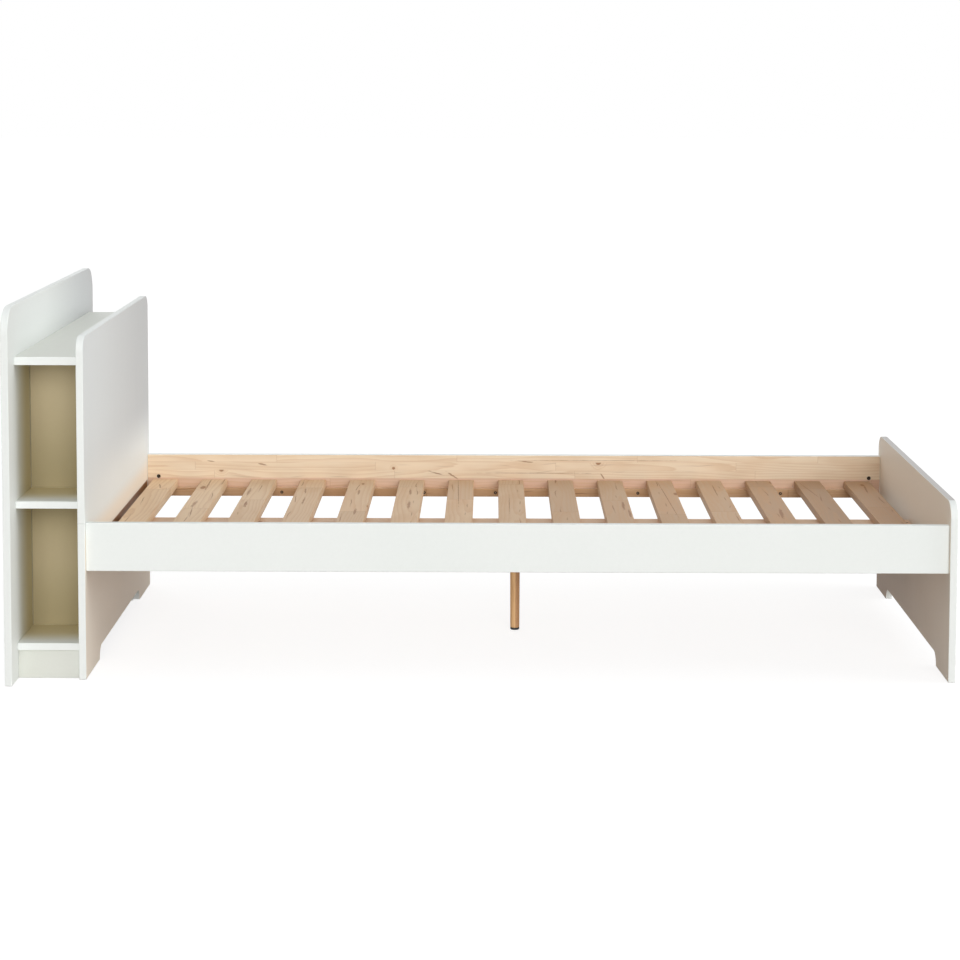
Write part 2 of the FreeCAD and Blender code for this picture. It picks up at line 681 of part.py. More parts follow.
for side_name, side in SIDES:
    rail_y = RAIL_FACE if side == NEAR else HALF_CLEAR
    batten_y = HALF_CLEAR if side == NEAR else less(HALF_CLEAR, s.batten_width)
    node("side_rail_" + side_name,
         board("side_rail_" + side_name, (s.mattress_length, s.rail_thickness, s.rail_height),
               (HEAD_FACE, along(side, rail_y), RAIL_BOTTOM)))
    node("batten_" + side_name,
         board("batten_" + side_name, (BATTEN_LENGTH, s.batten_width, s.batten_height),
               (add(HEAD_FACE, s.batten_head_gap), along(side, batten_y), BATTEN_BOTTOM)))

slat_count = int(size("slat_count"))
for index in range(slat_count):
    slat = "slat_%02d" % (index + 1)
    edge = add(HEAD_FACE, s.slat_head_gap, times(SLAT_RUN, index / (slat_count - 1)))
    node(slat, board(slat, (s.slat_width, SLAT_LENGTH, s.slat_thickness),
                     (edge, times(SLAT_LENGTH, -0.5), BEARER_TOP), ease=s.slat_bevel))

node("centre_beam",
     board("centre_beam", (less(s.mattress_length, times(s.beam_end_gap, 2)), s.beam_width,
                           s.beam_thickness),
           (add(HEAD_FACE, s.beam_end_gap), times(s.beam_width, -0.5), BEAM_BOTTOM)))
for end, block_x in (("head", HEAD_FACE), ("foot", less(FOOT_FACE, s.block_thickness))):
    node("beam_block_" + end,
         board("beam_block_" + end, (s.block_thickness, s.block_length, s.block_height),
               (block_x, times(s.block_length, -0.5), less(BEAM_BOTTOM, s.block_height))))

# ---------------------------------------------------------------- centre leg

leg = doc.addObject("Part::Loft", "Leg")
leg.Sections = [ring("LegFoot", s.leg_foot_radius, s.glide_height, LEG_SIDES),
                ring("LegTop", s.leg_top_radius, BEAM_BOTTOM, LEG_SIDES)]
leg.Solid = True
leg.Ruled = True
node("centre_leg", leg)
node("leg_glide", glide_blank())
node("leg_hanger_bolt", hanger)
node("leg_insert_nut", carve("Insert", sleeve, sleeve_thread))

# ---------------------------------------------------------------- fastener nodes

for name, pieces in (("bed_bolts", bed_bolts), ("barrel_nuts", barrel_nuts),
                     ("wood_dowels", wood_dowels), ("wood_screws", wood_screws),
                     ("cam_bolts", cam_bolts), ("cam_discs", cam_discs)):
    group(name, pieces)

# ---------------------------------------------------------------- check and write

doc.recompute()
failed = [thing.Name for thing in doc.Objects
          if "Invalid" in thing.State or "Error" in thing.State]
if failed:
    raise RuntimeError("objects that did not compute: " + ", ".join(failed))
if bores:
    raise RuntimeError("holes without a piece: " + ", ".join(sorted(bores)))
os.makedirs("parts", exist_ok=True)
for name, piece in nodes.items():
    if piece.Shape.isNull() or not piece.Shape.isValid():
        raise RuntimeError("bad shape: " + name)
for name, piece in nodes.items():
    piece.Shape.exportStep("parts/%s.step" % name)
    box = piece.Shape.BoundBox
    print("%-18s solids %2d  x %8.1f %8.1f  y %8.1f %8.1f  z %7.1f %7.1f"
          % (name, len(piece.Shape.Solids), box.XMin, box.XMax, box.YMin, box.YMax,
             box.ZMin, box.ZMax))
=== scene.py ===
"""Looks of the bookcase headboard bed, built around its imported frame.

Lengths are in metres, in the frame's axes: X runs from the headboard to the
footboard, Y from the near side to the far side, and Z up from the floor.
"""

import logging
import math
import random
from dataclasses import dataclass, field
from enum import Enum
from typing import Any, Callable, Mapping, Sequence

import bpy
import numpy as np
from mathutils import Matrix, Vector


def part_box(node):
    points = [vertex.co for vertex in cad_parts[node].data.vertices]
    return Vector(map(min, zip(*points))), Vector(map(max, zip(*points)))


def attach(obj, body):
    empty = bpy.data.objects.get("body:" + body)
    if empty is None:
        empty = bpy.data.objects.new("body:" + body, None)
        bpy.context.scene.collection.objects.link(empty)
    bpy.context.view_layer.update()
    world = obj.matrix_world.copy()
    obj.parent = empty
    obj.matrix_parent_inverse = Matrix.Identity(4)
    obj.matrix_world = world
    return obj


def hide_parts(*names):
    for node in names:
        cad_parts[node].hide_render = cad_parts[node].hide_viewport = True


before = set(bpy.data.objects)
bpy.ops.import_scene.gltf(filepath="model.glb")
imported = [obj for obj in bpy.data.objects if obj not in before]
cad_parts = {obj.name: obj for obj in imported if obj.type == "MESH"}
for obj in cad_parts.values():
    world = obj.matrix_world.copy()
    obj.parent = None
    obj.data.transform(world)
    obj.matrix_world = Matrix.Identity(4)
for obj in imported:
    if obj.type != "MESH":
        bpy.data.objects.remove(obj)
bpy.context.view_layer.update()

MM = 0.001
BODY = "root"
BARE_LEAN = 0.75  # a face is bare where its normal leans this far to the bare side
SHARP_DEGREES = 32  # turned pieces are smooth below this angle

# Steps between the random numbers of one seed, block or strip and the next.
SEED_STEP, BLOCK_STEP, STRIP_STEP = 31.7, 1.93, 13.7
BEYOND = 1.0  # past every board, sideways and upwards
TINY = 1e-9

Colour = tuple[float, float, float]
Point = tuple[float, float, float]
Range = tuple[float, float]

WHITE: Colour = (1.0, 1.0, 1.0)


class Axis(Enum):
    """A direction of the frame, as the place of its coordinate."""

    X = 0
    Y = 1
    Z = 2

    @property
    def others(self) -> list[int]:
        """The places of the other two coordinates, in turning order."""
        return [(self.value + 1) % 3, (self.value + 2) % 3]


class Slot(Enum):
    """The record's material slots."""

    PAINT = "white_paint"
    PINE = "natural_pine"
    DOWEL = "dowel_wood"
    STEEL = "zinc_steel"
    PLASTIC = "black_plastic"


class Recess(Enum):
    """The driver recess in the head of a fastener."""

    NONE = "none"
    HEXAGON = "hexagon"
    CROSS = "cross"
    BLADE = "blade"


def tint(red: float, green: float, blue: float) -> Colour:
    """Turns a display colour into the linear one that shaders take.

    Args:
        red, green, blue: display values from 0 to 255.

    Returns:
        The three linear values from 0 to 1.
    """
    shares = np.array([red, green, blue]) / 255.0
    linear = np.where(shares <= 0.04045, shares / 12.92, ((shares + 0.055) / 1.055) ** 2.4)
    return tuple(float(value) for value in linear)


# --------------------------------------------------------------------------
# Shader expressions
# --------------------------------------------------------------------------


def maths(operation: str, swapped: bool = False) -> Callable[..., "Wire"]:
    """Makes a Wire method that adds one Math node.

    Args:
        operation: the Math node's operation.
        swapped: True where the other term comes first.

    Returns:
        The method.
    """

    def method(self: "Wire", *others: "Wire | float") -> "Wire":
        """The operation on this and the others."""
        terms = (*others, self) if swapped else (self, *others)
        return self.sketch.node("ShaderNodeMath", {"operation": operation}, dict(enumerate(terms)))

    return method


class Wire:
    """A node's output that works in Python arithmetic.

    An expression such as 1 - mask adds the Math node that works it out.
    """

    def __init__(self, sketch: "Sketch", socket: bpy.types.NodeSocket) -> None:
        """Keeps the socket and the sketch that its nodes go into."""
        self.sketch = sketch
        self.socket = socket

    __add__ = __radd__ = maths("ADD")
    __sub__ = maths("SUBTRACT")
    __rsub__ = maths("SUBTRACT", swapped=True)
    __mul__ = __rmul__ = maths("MULTIPLY")
    __truediv__ = maths("DIVIDE")
    __pow__ = maths("POWER")
    __gt__ = maths("GREATER_THAN")
    __abs__ = maths("ABSOLUTE")
    floor = maths("FLOOR")
    part = maths("FRACT")
    most = maths("MAXIMUM")

    def other(self, name: int | str) -> "Wire":
        """Another output of the same node."""
        return Wire(self.sketch, self.socket.node.outputs[name])

    def step(self, start: float, end: float) -> "Wire":
        """Rises smoothly from 0 at start to 1 at end; end may be the lower one.

        Args:
            start: where the step is 0.
            end: where the step is 1.

        Returns:
            The step, held between 0 and 1.
        """
        low, high = min(start, end), max(start, end)
        first, last = (0.0, 1.0) if start < end else (1.0, 0.0)
        values = {"Value": self, "From Min": low, "From Max": high, "To Min": first, "To Max": last}
        return self.sketch.node("ShaderNodeMapRange", {"interpolation_type": "SMOOTHSTEP"}, values)


class Sketch:
    """The node tree of one material or world."""

    def __init__(self, owner: bpy.types.Material | bpy.types.World) -> None:
        """Starts the owner's tree with nothing in it."""
        owner.use_nodes = True
        self.tree = owner.node_tree
        self.tree.nodes.clear()

    def node(self, kind: str, settings: Mapping[str, Any], sockets: Mapping[int | str, Any],
             out: int | str = 0) -> Wire:
        """Adds one node.

        Args:
            kind: the node's type.
            settings: its own settings, set before its sockets.
            sockets: a number, colour or Wire for each of its inputs.
            out: the output that is wanted.

        Returns:
            That output.
        """
        made = self.tree.nodes.new(kind)
        for key, value in settings.items():
            setattr(made, key, value)
        for key, value in sockets.items():
            target = made.inputs[key]
            if isinstance(value, Wire):
                self.tree.links.new(value.socket, target)
            elif target.type == "RGBA":
                target.default_value = (*value, 1.0)
            else:
                target.default_value = value
        return Wire(self, made.outputs[out])

    def place(self) -> Wire:
        """The point of the object, in the frame's metres."""
        return self.node("ShaderNodeTexCoord", {}, {}, "Object")

    def ease(self) -> Wire:
        """1 in the middle of a board's rounded edge and 0 on its faces."""
        return self.node("ShaderNodeAttribute", {"attribute_name": "ease"}, {}, "Fac")

    def split(self, vector: Wire) -> tuple[Wire, Wire, Wire]:
        """The X, Y and Z of a vector."""
        first = self.node("ShaderNodeSeparateXYZ", {}, {0: vector})
        return first, first.other(1), first.other(2)

    def join(self, x: Wire | float, y: Wire | float, z: Wire | float) -> Wire:
        """A vector from its three parts."""
        return self.node("ShaderNodeCombineXYZ", {}, {0: x, 1: y, 2: z})

    def noise(self, vector: Wire, scale: float, detail: float = 2.0) -> Wire:
        """Soft noise around 0.5, with scale waves for each unit of the vector."""
        values = {"Vector": vector, "Scale": scale, "Detail": detail, "Roughness": 0.5}
        return self.node("ShaderNodeTexNoise", {}, values)

    def blend(self, share: Wire | float, first: Wire | Colour, second: Wire | Colour) -> Wire:
        """Goes from the first colour, at share 0, to the second, at share 1."""
        return self.node("ShaderNodeMix", {"data_type": "RGBA"}, {0: share, 6: first, 7: second}, 2)

    def scale(self, colour: Wire, share: Wire | float) -> Wire:
        """A colour made lighter or darker by a share."""
        return self.node("ShaderNodeVectorMath", {"operation": "SCALE"}, {0: colour, "Scale": share})

    def bump(self, height: Wire, strength: float, distance: float) -> Wire:
        """The normal over a height of about 0 to 1, whose unit is distance deep."""
        values = {"Height": height, "Strength": strength, "Distance": distance}
        return self.node("ShaderNodeBump", {}, values)

    def surface(self, colour: Wire, rough: Wire, normal: Wire, constants: Mapping[str, float]) -> None:
        """Ends a material's tree; constants are sockets that are the same all over."""
        values = {"Base Color": colour, "Roughness": rough, "Normal": normal, **constants}
        self.output(self.node("ShaderNodeBsdfPrincipled", {}, values))

    def output(self, shader: Wire, kind: str = "Material") -> None:
        """Joins a shader to the output of the material or world."""
        target = self.tree.nodes.new(f"ShaderNodeOutput{kind}")
        self.tree.links.new(shader.socket, target.inputs["Surface"])


def new_material(name: str) -> tuple[bpy.types.Material, Sketch]:
    """A new material and the sketch of its tree."""
    made = bpy.data.materials.new(name)
    return made, Sketch(made)


# --------------------------------------------------------------------------
# Finishes
# --------------------------------------------------------------------------


@dataclass(frozen=True)
class Zone:
    """A box of the frame where a finish has another tone, fading out of its sides."""

    colour: Colour
    x: Range
    y: Range
    z: Range
    fade: Point = (MM, MM, MM)
    mirrored: bool = True

    def mask(self, x: Wire, y: Wire, z: Wire) -> Wire:
        """1 inside the box and 0 outside: the product of the three ranges.

        Args:
            x, y, z: the point; a mirrored zone tests y without its sign.

        Returns:
            The mask.
        """
        inside: Wire | float = 1.0
        parts = (x, abs(y) if self.mirrored else y, z)
        for part, (low, high), fade in zip(parts, (self.x, self.y, self.z), self.fade):
            inside = part.step(low - fade, low) * part.step(high + fade, high) * inside
        return inside


@dataclass(frozen=True)
class Mark:
    """A dark mark in wood: a small knot, a crack or a joint, as a slanting ellipse."""

    along: float
    across: float
    length: float
    width: float
    tilt: float = 0.0

    def mask(self, along: Wire, across: Wire, ragged: Wire) -> Wire:
        """1 on the mark and 0 off it.

        The offset from the mark's middle is turned by its tilt, and each part
        is divided by the half size on that side; their squares add up.

        Args:
            along, across: the point along and across the grain.
            ragged: noise around 0 that frays the mark.

        Returns:
            The mask.
        """
        turn = math.radians(self.tilt)
        cosine, sine = math.cos(turn), math.sin(turn)
        first, second = along - self.along, across - self.across
        forward = first * (cosine / self.length) + second * (sine / self.length)
        sideways = second * (cosine / self.width) - first * (sine / self.width)
        return (forward * forward + sideways * sideways + ragged).step(1.4, 0.3)


@dataclass(frozen=True)
class Lacquer:
    """Satin white lacquer, sprayed on board, with a faint orange peel.

    Waves are counted for each metre; drag is longer in height than across.
    """

    name: str
    colour: Colour = tint(237, 240, 237)
    worn: Colour = tint(245, 247, 245)
    zones: tuple[Zone, ...] = ()
    rough: float = 0.5
    cloud_waves: float = 2.3
    speck_waves: float = 160.0
    peel_waves: float = 620.0
    drag_waves: Range = (30, 4)
    peel_depth: float = 0.12 * MM

    def material(self) -> bpy.types.Material:
        """Builds the lacquer: slow clouds of tone, zones of other tone (mostly painted light and shade),
        lighter eased edges, orange peel.

        Returns:
            The material.
        """
        made, sketch = new_material(self.name)
        place = sketch.place()
        x, y, z = sketch.split(place)
        cloud = sketch.noise(place, self.cloud_waves, 3.0)
        speck = sketch.noise(place, self.speck_waves, 2.0)
        peel = sketch.noise(place, self.peel_waves, 1.0)
        wide, tall = self.drag_waves
        drag = sketch.noise(sketch.join(x * wide, y * wide, z * tall), 1.0, 3.0)
        colour = sketch.blend(cloud.step(0.35, 0.7) * 0.35, self.colour, self.worn)
        for zone in self.zones:
            colour = sketch.blend(zone.mask(x, y, z), colour, zone.colour)
        ease = sketch.ease()
        colour = sketch.blend(ease * 0.5, colour, self.worn)
        colour = sketch.scale(colour, 0.985 + speck * 0.03)
        rough = self.rough + (drag - 0.5) * 0.12 + ease * 0.06
        normal = sketch.bump(peel * 0.7 + drag * 0.3, 0.25, self.peel_depth)
        sketch.surface(colour, rough, normal, {"IOR": 1.47, "Specular IOR Level": 0.18})
        return made


@dataclass(frozen=True)
class Pine:
    """Planed softwood: growth rings about a pith line, fibres, knots and joints.

    The ring number is the distance from the pith line divided by the ring
    width; its fraction, to a power, gives the dark late wood.  The pith line
    runs with the grain and wanders with slow noise.  Boards glued from
    strips, and strips finger-jointed from blocks, draw a new pith line and
    tone for each strip and block.  Slats are told apart by their pitch.
    """

    name: str
    grain: Axis
    flat: Axis
    middle: Point
    early: Colour = tint(232, 206, 176)
    blush: Colour = tint(226, 190, 160)
    late: Colour = tint(196, 150, 106)
    knot: Colour = tint(134, 82, 46)
    second: Colour | None = None
    split: float = 0.0
    ring: float = 5.5 * MM
    depth: float = 0.6
    knots: float = 0.4
    knot_cell: float = 0.13
    stretch: float = 1.0
    seed: int = 1
    pitch: float = 0.0
    start: float = 0.0
    strip: float = 0.0
    strip_offset: float = 0.37
    block: float = 0.0
    shade_trend: float = 0.0
    contrast: float = 1.0
    marks: tuple[Mark, ...] = ()
    glue_line: float = 0.4 * MM
    finger_joint: float = 1.2 * MM
    pith_below: float = 24 * MM
    grain_depth: float = 0.25 * MM

    def lots(self, sketch: Sketch, number: Wire | float) -> tuple[Wire, ...] | tuple[float, ...]:
        """Three random shares for a strip or block.

        Args:
            sketch: the tree that they are worked out in.
            number: the strip's or block's number, which they are drawn from.

        Returns:
            The three shares.
        """
        thrown = number + self.seed * SEED_STEP
        if not isinstance(number, Wire):
            draws = random.Random(thrown)
            return tuple(draws.random() for _ in range(3))
        return sketch.split(sketch.node("ShaderNodeTexWhiteNoise", {"noise_dimensions": "1D"},
                                        {"W": thrown}, "Color"))

    @staticmethod
    def line(share: Wire, width: float) -> Wire:
        """1 on the lines between whole numbers of a share, and 0 beside them."""
        return abs(share.part() - 0.5).step(0.5 - width, 0.5)

    def material(self) -> bpy.types.Material:
        """Builds the wood from its cuts, its rings, its fibres and its knots.

        Returns:
            The material.
        """
        made, sketch = new_material(self.name)
        x, y, z = sketch.split(sketch.place())
        local = [x - self.middle[0], y - self.middle[1], z - self.middle[2]]
        side = ({0, 1, 2} - {self.grain.value, self.flat.value}).pop()
        along, across, up = local[self.grain.value], local[side], local[self.flat.value]
        contrast = self.contrast
        number: Wire | float = 0.0
        seam: Wire | float = 0.0
        if self.pitch:
            number = ((x - self.start) / self.pitch).floor()
            across = x - self.start - (number + 0.5) * self.pitch
        if self.strip:
            share = across / self.strip + self.strip_offset
            number = share.floor()
            across = (share.part() - 0.5) * self.strip
            seam = self.line(share, self.glue_line / self.strip) * (0.5 * contrast)
        lot = self.lots(sketch, number)
        if self.block:
            run = along / self.block + lot[0] * 4.0 + 50.0
            joint = self.line(run, self.finger_joint / self.block) * (0.8 * contrast)
            seam = seam.most(joint) if self.strip else joint
            lot = self.lots(sketch, run.floor() * BLOCK_STEP + number * STRIP_STEP)
        shift = lot[0] * 7.0

        def wave(rate: float, second: Wire | float, third: float, detail: float = 2.0) -> Wire:
            """Noise that changes only along the grain, rate times a metre."""
            return sketch.noise(sketch.join(along * rate + shift, second, third), 1.0, detail)

        drift, sway = wave(1.4, self.seed * 3.1, 0.0), wave(1.9, self.seed * 5.3 + 9.0, 4.0)
        swirl, core, rim = self.knot_masks(sketch, along, across, shift)
        ring_across = across + (lot[1] - 0.5) * 0.08 + (drift - 0.5) * 0.07
        ring_up = up + self.pith_below + lot[2] * 0.05 + (sway - 0.5) * 0.03
        radius = (ring_across * ring_across + ring_up * ring_up) ** 0.5
        fuzz = sketch.noise(sketch.join(along * 7, across * 120, up * 120), 1.0, 3.0)
        band = (radius / self.ring + fuzz * 0.5 + swirl * 2.2).part()
        late = band ** 2.6 * band.step(1.0, 0.93)
        fibre = sketch.noise(sketch.join(along * 16 + shift, across * 760, up * 760), 1.0, 3.0)
        blotch = sketch.noise(sketch.join(along * 5 + shift, across * 22, up * 22), 1.0, 3.0)
        wander = (sketch.noise(sketch.join(along * 6, shift + 3.0, 1.0), 1.0) - 0.5) * 0.03
        streak = abs(across + wander + (lot[1] - 0.5) * 0.05).step(1.8 * MM, 0.4 * MM)
        streak = streak * wave(9, 2.0, 5.0, 1.0).step(0.48, 0.6)
        early: Wire | Colour = self.early
        if self.second:
            edge = local[side].step(self.split - self.glue_line, self.split)
            early = sketch.blend(edge, self.early, self.second)
        # A shade trend darkens each slat a little more than the one before: painted shade.
        tone = lot[1] * 0.3 - 0.15 + number * self.shade_trend if self.shade_trend else lot[1] * (0.8 * contrast)
        colour = sketch.blend(tone, early, self.second or self.blush)
        for share in (late * self.depth, blotch.step(0.42, 0.72) * 0.3, swirl * 0.3):
            colour = sketch.blend(share, colour, self.late)
        light = 0.95 - 0.05 * contrast + fibre * 0.1 + lot[2] * (0.1 * contrast)
        colour = sketch.blend(streak * (0.55 * contrast), sketch.scale(colour, light), self.knot)
        fray = (sketch.noise(sketch.join(along * 60, across * 300, 0.0), 1.0) - 0.5) * 3.0
        for mark in self.marks:
            share = mark.mask(local[self.grain.value], local[side], fray) * 0.62
            colour = sketch.blend(share, colour, self.knot)
        colour = sketch.blend(rim * 0.7, colour, self.knot)
        colour = sketch.blend(core * 0.9, colour, sketch.blend(fibre * 0.6, self.knot, self.late))
        colour = sketch.blend(seam, colour, sketch.blend(0.5, self.late, self.knot))
        # Eased edges are darkened towards the late wood: painted shade on the rounded edges.
        colour = sketch.blend(sketch.ease() * 0.45, colour, self.late)
        rough = 0.56 + (fibre - 0.5) * 0.16 - late * 0.08
        normal = sketch.bump(fibre * 0.6 + late * 0.4 - seam, 0.35, self.grain_depth)
        sketch.surface(colour, rough, normal, {"IOR": 1.46, "Specular IOR Level": 0.25})
        return made

    def knot_masks(self, sketch: Sketch, along: Wire, across: Wire,
                   shift: Wire | float) -> tuple[Wire, Wire, Wire]:
        """Round knots, one at most in each cell of a loose grid.

        Args:
            sketch: the tree that they are worked out in.
            along, across: the point along and across the grain.
            shift: what sets this board apart from its neighbours.

        Returns:
            The swirl that bends the rings, the knot itself, and its dark rim.
        """
        ragged = sketch.noise(sketch.join(along * 90, across * 90, 0.0), 1.0) - 0.5
        where = sketch.join(along / (self.knot_cell * self.stretch) + shift,
                            across / self.knot_cell + shift * 3.0, 0.0)
        settings = {"voronoi_dimensions": "2D", "feature": "F1"}
        distance = sketch.node("ShaderNodeTexVoronoi", settings, {"Vector": where, "Scale": 1.0}, "Distance")
        pick, size, _ = sketch.split(distance.other("Color"))
        there = pick > 1.0 - self.knots
        length = distance * self.knot_cell + ragged * 3.0 * MM
        share = length / (2.5 * MM + size * 4.5 * MM)
        return (there * share.step(4.0, 0.6), there * share.step(1.0, 0.75),
                there * share.step(1.3, 1.0) * share.step(0.7, 1.0))


@dataclass(frozen=True)
class DowelWood:
    """Beech of the fluted dowels, with short flecks."""

    name: str = "dowel beech"
    colour: Colour = tint(214, 178, 138)
    fleck: Colour = tint(172, 128, 88)

    def material(self) -> bpy.types.Material:
        """Builds the beech: short dark flecks on a calm ground.

        Returns:
            The material.
        """
        made, sketch = new_material(self.name)
        place = sketch.place()
        flecks = sketch.noise(place, 900.0).step(0.58, 0.7)
        tone = sketch.noise(place, 40.0)
        colour = sketch.scale(sketch.blend(flecks * 0.6, self.colour, self.fleck), 0.9 + tone * 0.2)
        sketch.surface(colour, 0.6 + tone * 0.1, sketch.bump(flecks, 0.3, 0.1 * MM), {"IOR": 1.45})
        return made


@dataclass(frozen=True)
class Zinc:
    """Bright zinc plating with a faint haze and fine scratches."""

    name: str = "zinc plate"
    colour: Colour = tint(188, 190, 192)
    dull: Colour = tint(140, 141, 142)

    def material(self) -> bpy.types.Material:
        """Builds the plating: a haze in colour and roughness over fine grit.

        Returns:
            The material.
        """
        made, sketch = new_material(self.name)
        place = sketch.place()
        haze = sketch.noise(place, 300.0, 3.0)
        grit = sketch.noise(place, 2600.0, 1.0)
        colour = sketch.blend(haze.step(0.4, 0.65), self.colour, self.dull)
        sketch.surface(colour, 0.28 + haze * 0.24, sketch.bump(grit, 0.2, 0.05 * MM), {"Metallic": 1.0})
        return made


@dataclass(frozen=True)
class Plastic:
    """Black moulded plastic with a fine matt grain."""

    name: str = "black plastic"
    colour: Colour = tint(30, 30, 32)
    scuff: Colour = tint(62, 61, 60)

    def material(self) -> bpy.types.Material:
        """Builds the plastic: dark ground, grey scuffs near the floor, fine grain.

        Returns:
            The material.
        """
        made, sketch = new_material(self.name)
        place = sketch.place()
        grain = sketch.noise(place, 1500.0)
        low = sketch.split(place)[2].step(4 * MM, 0.5 * MM)
        rub = sketch.noise(place, 260.0, 3.0).step(0.5, 0.7) * low
        colour = sketch.blend(rub * 0.7, self.colour, self.scuff)
        sketch.surface(colour, 0.42 + grain * 0.18, sketch.bump(grain, 0.4, 0.06 * MM), {"IOR": 1.5})
        return made


# --------------------------------------------------------------------------
# Surfaces
# --------------------------------------------------------------------------


@dataclass
class Shell:
    """A closed surface: its points, its polygons and, where known, its normals."""

    points: np.ndarray
    faces: list[list[int]]
    normals: np.ndarray | None = None
    ease: np.ndarray | None = None


def join_shells(shells: Sequence[Shell]) -> Shell:
    """Puts several closed surfaces into one.

    Args:
        shells: the surfaces.

    Returns:
        One surface with the points of all of them, one after another.
    """
    starts = np.cumsum([0] + [len(shell.points) for shell in shells])
    faces = [[int(start) + corner for corner in face]
             for start, shell in zip(starts, shells) for face in shell.faces]
    return Shell(np.concatenate([shell.points for shell in shells]), faces)


def lattice(rows: int, columns: int, closed: bool = False) -> list[list[int]]:
    """The four-sided faces between rings of points.

    Args:
        rows: the number of rings, from the low one to the high one.
        columns: the points of each ring, anticlockwise seen from above.
        closed: True where the last ring joins the first again.

    Returns:
        The faces, pointing outwards.
    """
    row = np.arange(rows if closed else rows - 1)[:, None]
    column = np.arange(columns)[None, :]
    after, above = (column + 1) % columns, (row + 1) % rows
    corners = (row * columns + column, row * columns + after,
               above * columns + after, above * columns + column)
    return np.stack(corners, axis=-1).reshape(-1, 4).tolist()


def ends(rows: int, columns: int) -> list[list[int]]:
    """The low polygon and the high one that close a stack of rings, facing outwards."""
    first = (rows - 1) * columns
    return [list(range(columns))[::-1], list(range(first, first + columns))]


@dataclass(frozen=True)
class Arc:
    """A piece of a board's outline: part of a circle, in degrees.

    It goes anticlockwise round an outer corner and clockwise round a hollow
    one.  Straight runs are what is left between one arc and the next.
    """

    centre: tuple[float, float]
    radius: float
    start: float
    end: float
    steps: int = 4

    def points(self) -> tuple[np.ndarray, np.ndarray]:
        """The circle's points and the directions that face out of the board.

        Returns:
            The points and their normals, one row each.
        """
        turns = np.radians(np.linspace(self.start, self.end, self.steps + 1))
        spoke = np.stack([np.cos(turns), np.sin(turns)], axis=1)
        return np.array(self.centre) + self.radius * spoke, np.sign(self.end - self.start) * spoke


@dataclass(frozen=True)
class Hole:
    """A round blind hole in one face of a board."""

    centre: tuple[float, float]
    radius: float
    depth: float
    high: bool


@dataclass
class HoledFace:
    """A board's face with round blind holes.

    Lines beside the holes cut the face into a grid of cells.  Four polygons
    fill a cell round its hole, one takes each plain cell, and four join the
    grid to the outline.
    """

    outline: np.ndarray
    holes: Sequence[Hole]
    first_index: int
    margin: float = 1.5 * MM
    quarter: int = 7
    points: list[np.ndarray] = field(default_factory=list)
    leans: list[np.ndarray] = field(default_factory=list)
    sunk: list[np.ndarray] = field(default_factory=list)
    faces: list[list[int]] = field(default_factory=list)

    def add(self, points: np.ndarray, lean: np.ndarray, sunk: float) -> int:
        """Adds points of the face or of a hole.

        Args:
            points: their places in the face.
            lean: the part of their normals that lies in the face.
            sunk: how deep they lie under the face.

        Returns:
            The number of the first one.
        """
        start = self.first_index + sum(len(group) for group in self.points)
        self.points.append(points)
        self.leans.append(lean)
        self.sunk.append(np.full(len(points), sunk))
        return start

    def hole(self, hole: Hole, corners: list[int]) -> None:
        """Fills one cell: four polygons round the rim, the wall and the bottom.

        Args:
            hole: the hole.
            corners: the cell's corners, anticlockwise from the low one.
        """
        count = 4 * self.quarter
        low_corner = np.radians(225)
        turns = low_corner + np.arange(count) * 2 * math.pi / count
        spoke = np.stack([np.cos(turns), np.sin(turns)], axis=1)
        rim = np.array(hole.centre) + hole.radius * spoke
        flat = np.zeros_like(rim)
        mouth = self.add(rim, flat, 0.0)
        for side in range(4):
            arc = [mouth + (side * self.quarter + step) % count for step in range(self.quarter, -1, -1)]
            self.faces.append([corners[side], corners[(side + 1) % 4], *arc])
        wall = self.add(rim, -spoke, 0.0)
        low = self.add(rim, -spoke, hole.depth)
        ring = np.arange(count)
        after = (ring + 1) % count
        self.faces += np.stack([wall + ring, wall + after, low + after, low + ring], axis=1).tolist()
        bottom = self.add(rim, flat, hole.depth)
        self.faces.append(list(range(bottom, bottom + count)))

    def build(self, ring: Sequence[int]) -> None:
        """Lays the grid and fills it.

        Args:
            ring: the numbers of the outline's points, anticlockwise.
        """
        half = max(hole.radius for hole in self.holes) + self.margin
        centres = {tuple(np.round(hole.centre, 4)): hole for hole in self.holes}
        middles = [np.unique([centre[axis] for centre in centres]) for axis in range(2)]
        lines = [np.sort(np.concatenate([middle - half, middle + half])) for middle in middles]
        wide, tall = len(lines[0]), len(lines[1])
        knots = np.stack(np.meshgrid(*lines, indexing="ij"), axis=-1).reshape(-1, 2)
        base = self.add(knots, np.zeros_like(knots), 0.0)
        grid = base + np.arange(wide * tall).reshape(wide, tall)
        for column in range(wide - 1):
            for row in range(tall - 1):
                corners = [int(grid[column + i, row + j]) for i, j in ((0, 0), (1, 0), (1, 1), (0, 1))]
                centre = (middles[0][column // 2], middles[1][row // 2])
                if column % 2 == 0 and row % 2 == 0 and centre in centres:
                    self.hole(centres[centre], corners)
                else:
                    self.faces.append(corners)
        ends_of_grid = [grid[0, 0], grid[-1, 0], grid[-1, -1], grid[0, -1]]
        sides = [grid[::-1, 0], grid[-1, ::-1], grid[:, -1], grid[0, :]]
        places = np.array([knots[index - base] for index in ends_of_grid])
        nearest = [int(np.argmin(np.linalg.norm(self.outline - place, axis=1))) for place in places]
        for side in range(4):
            start, stop = nearest[side], nearest[(side + 1) % 4]
            span = (stop - start) % len(self.outline)
            path = [int(ring[(start + step) % len(self.outline)]) for step in range(span + 1)]
            self.faces.append(path + [int(index) for index in sides[side]])


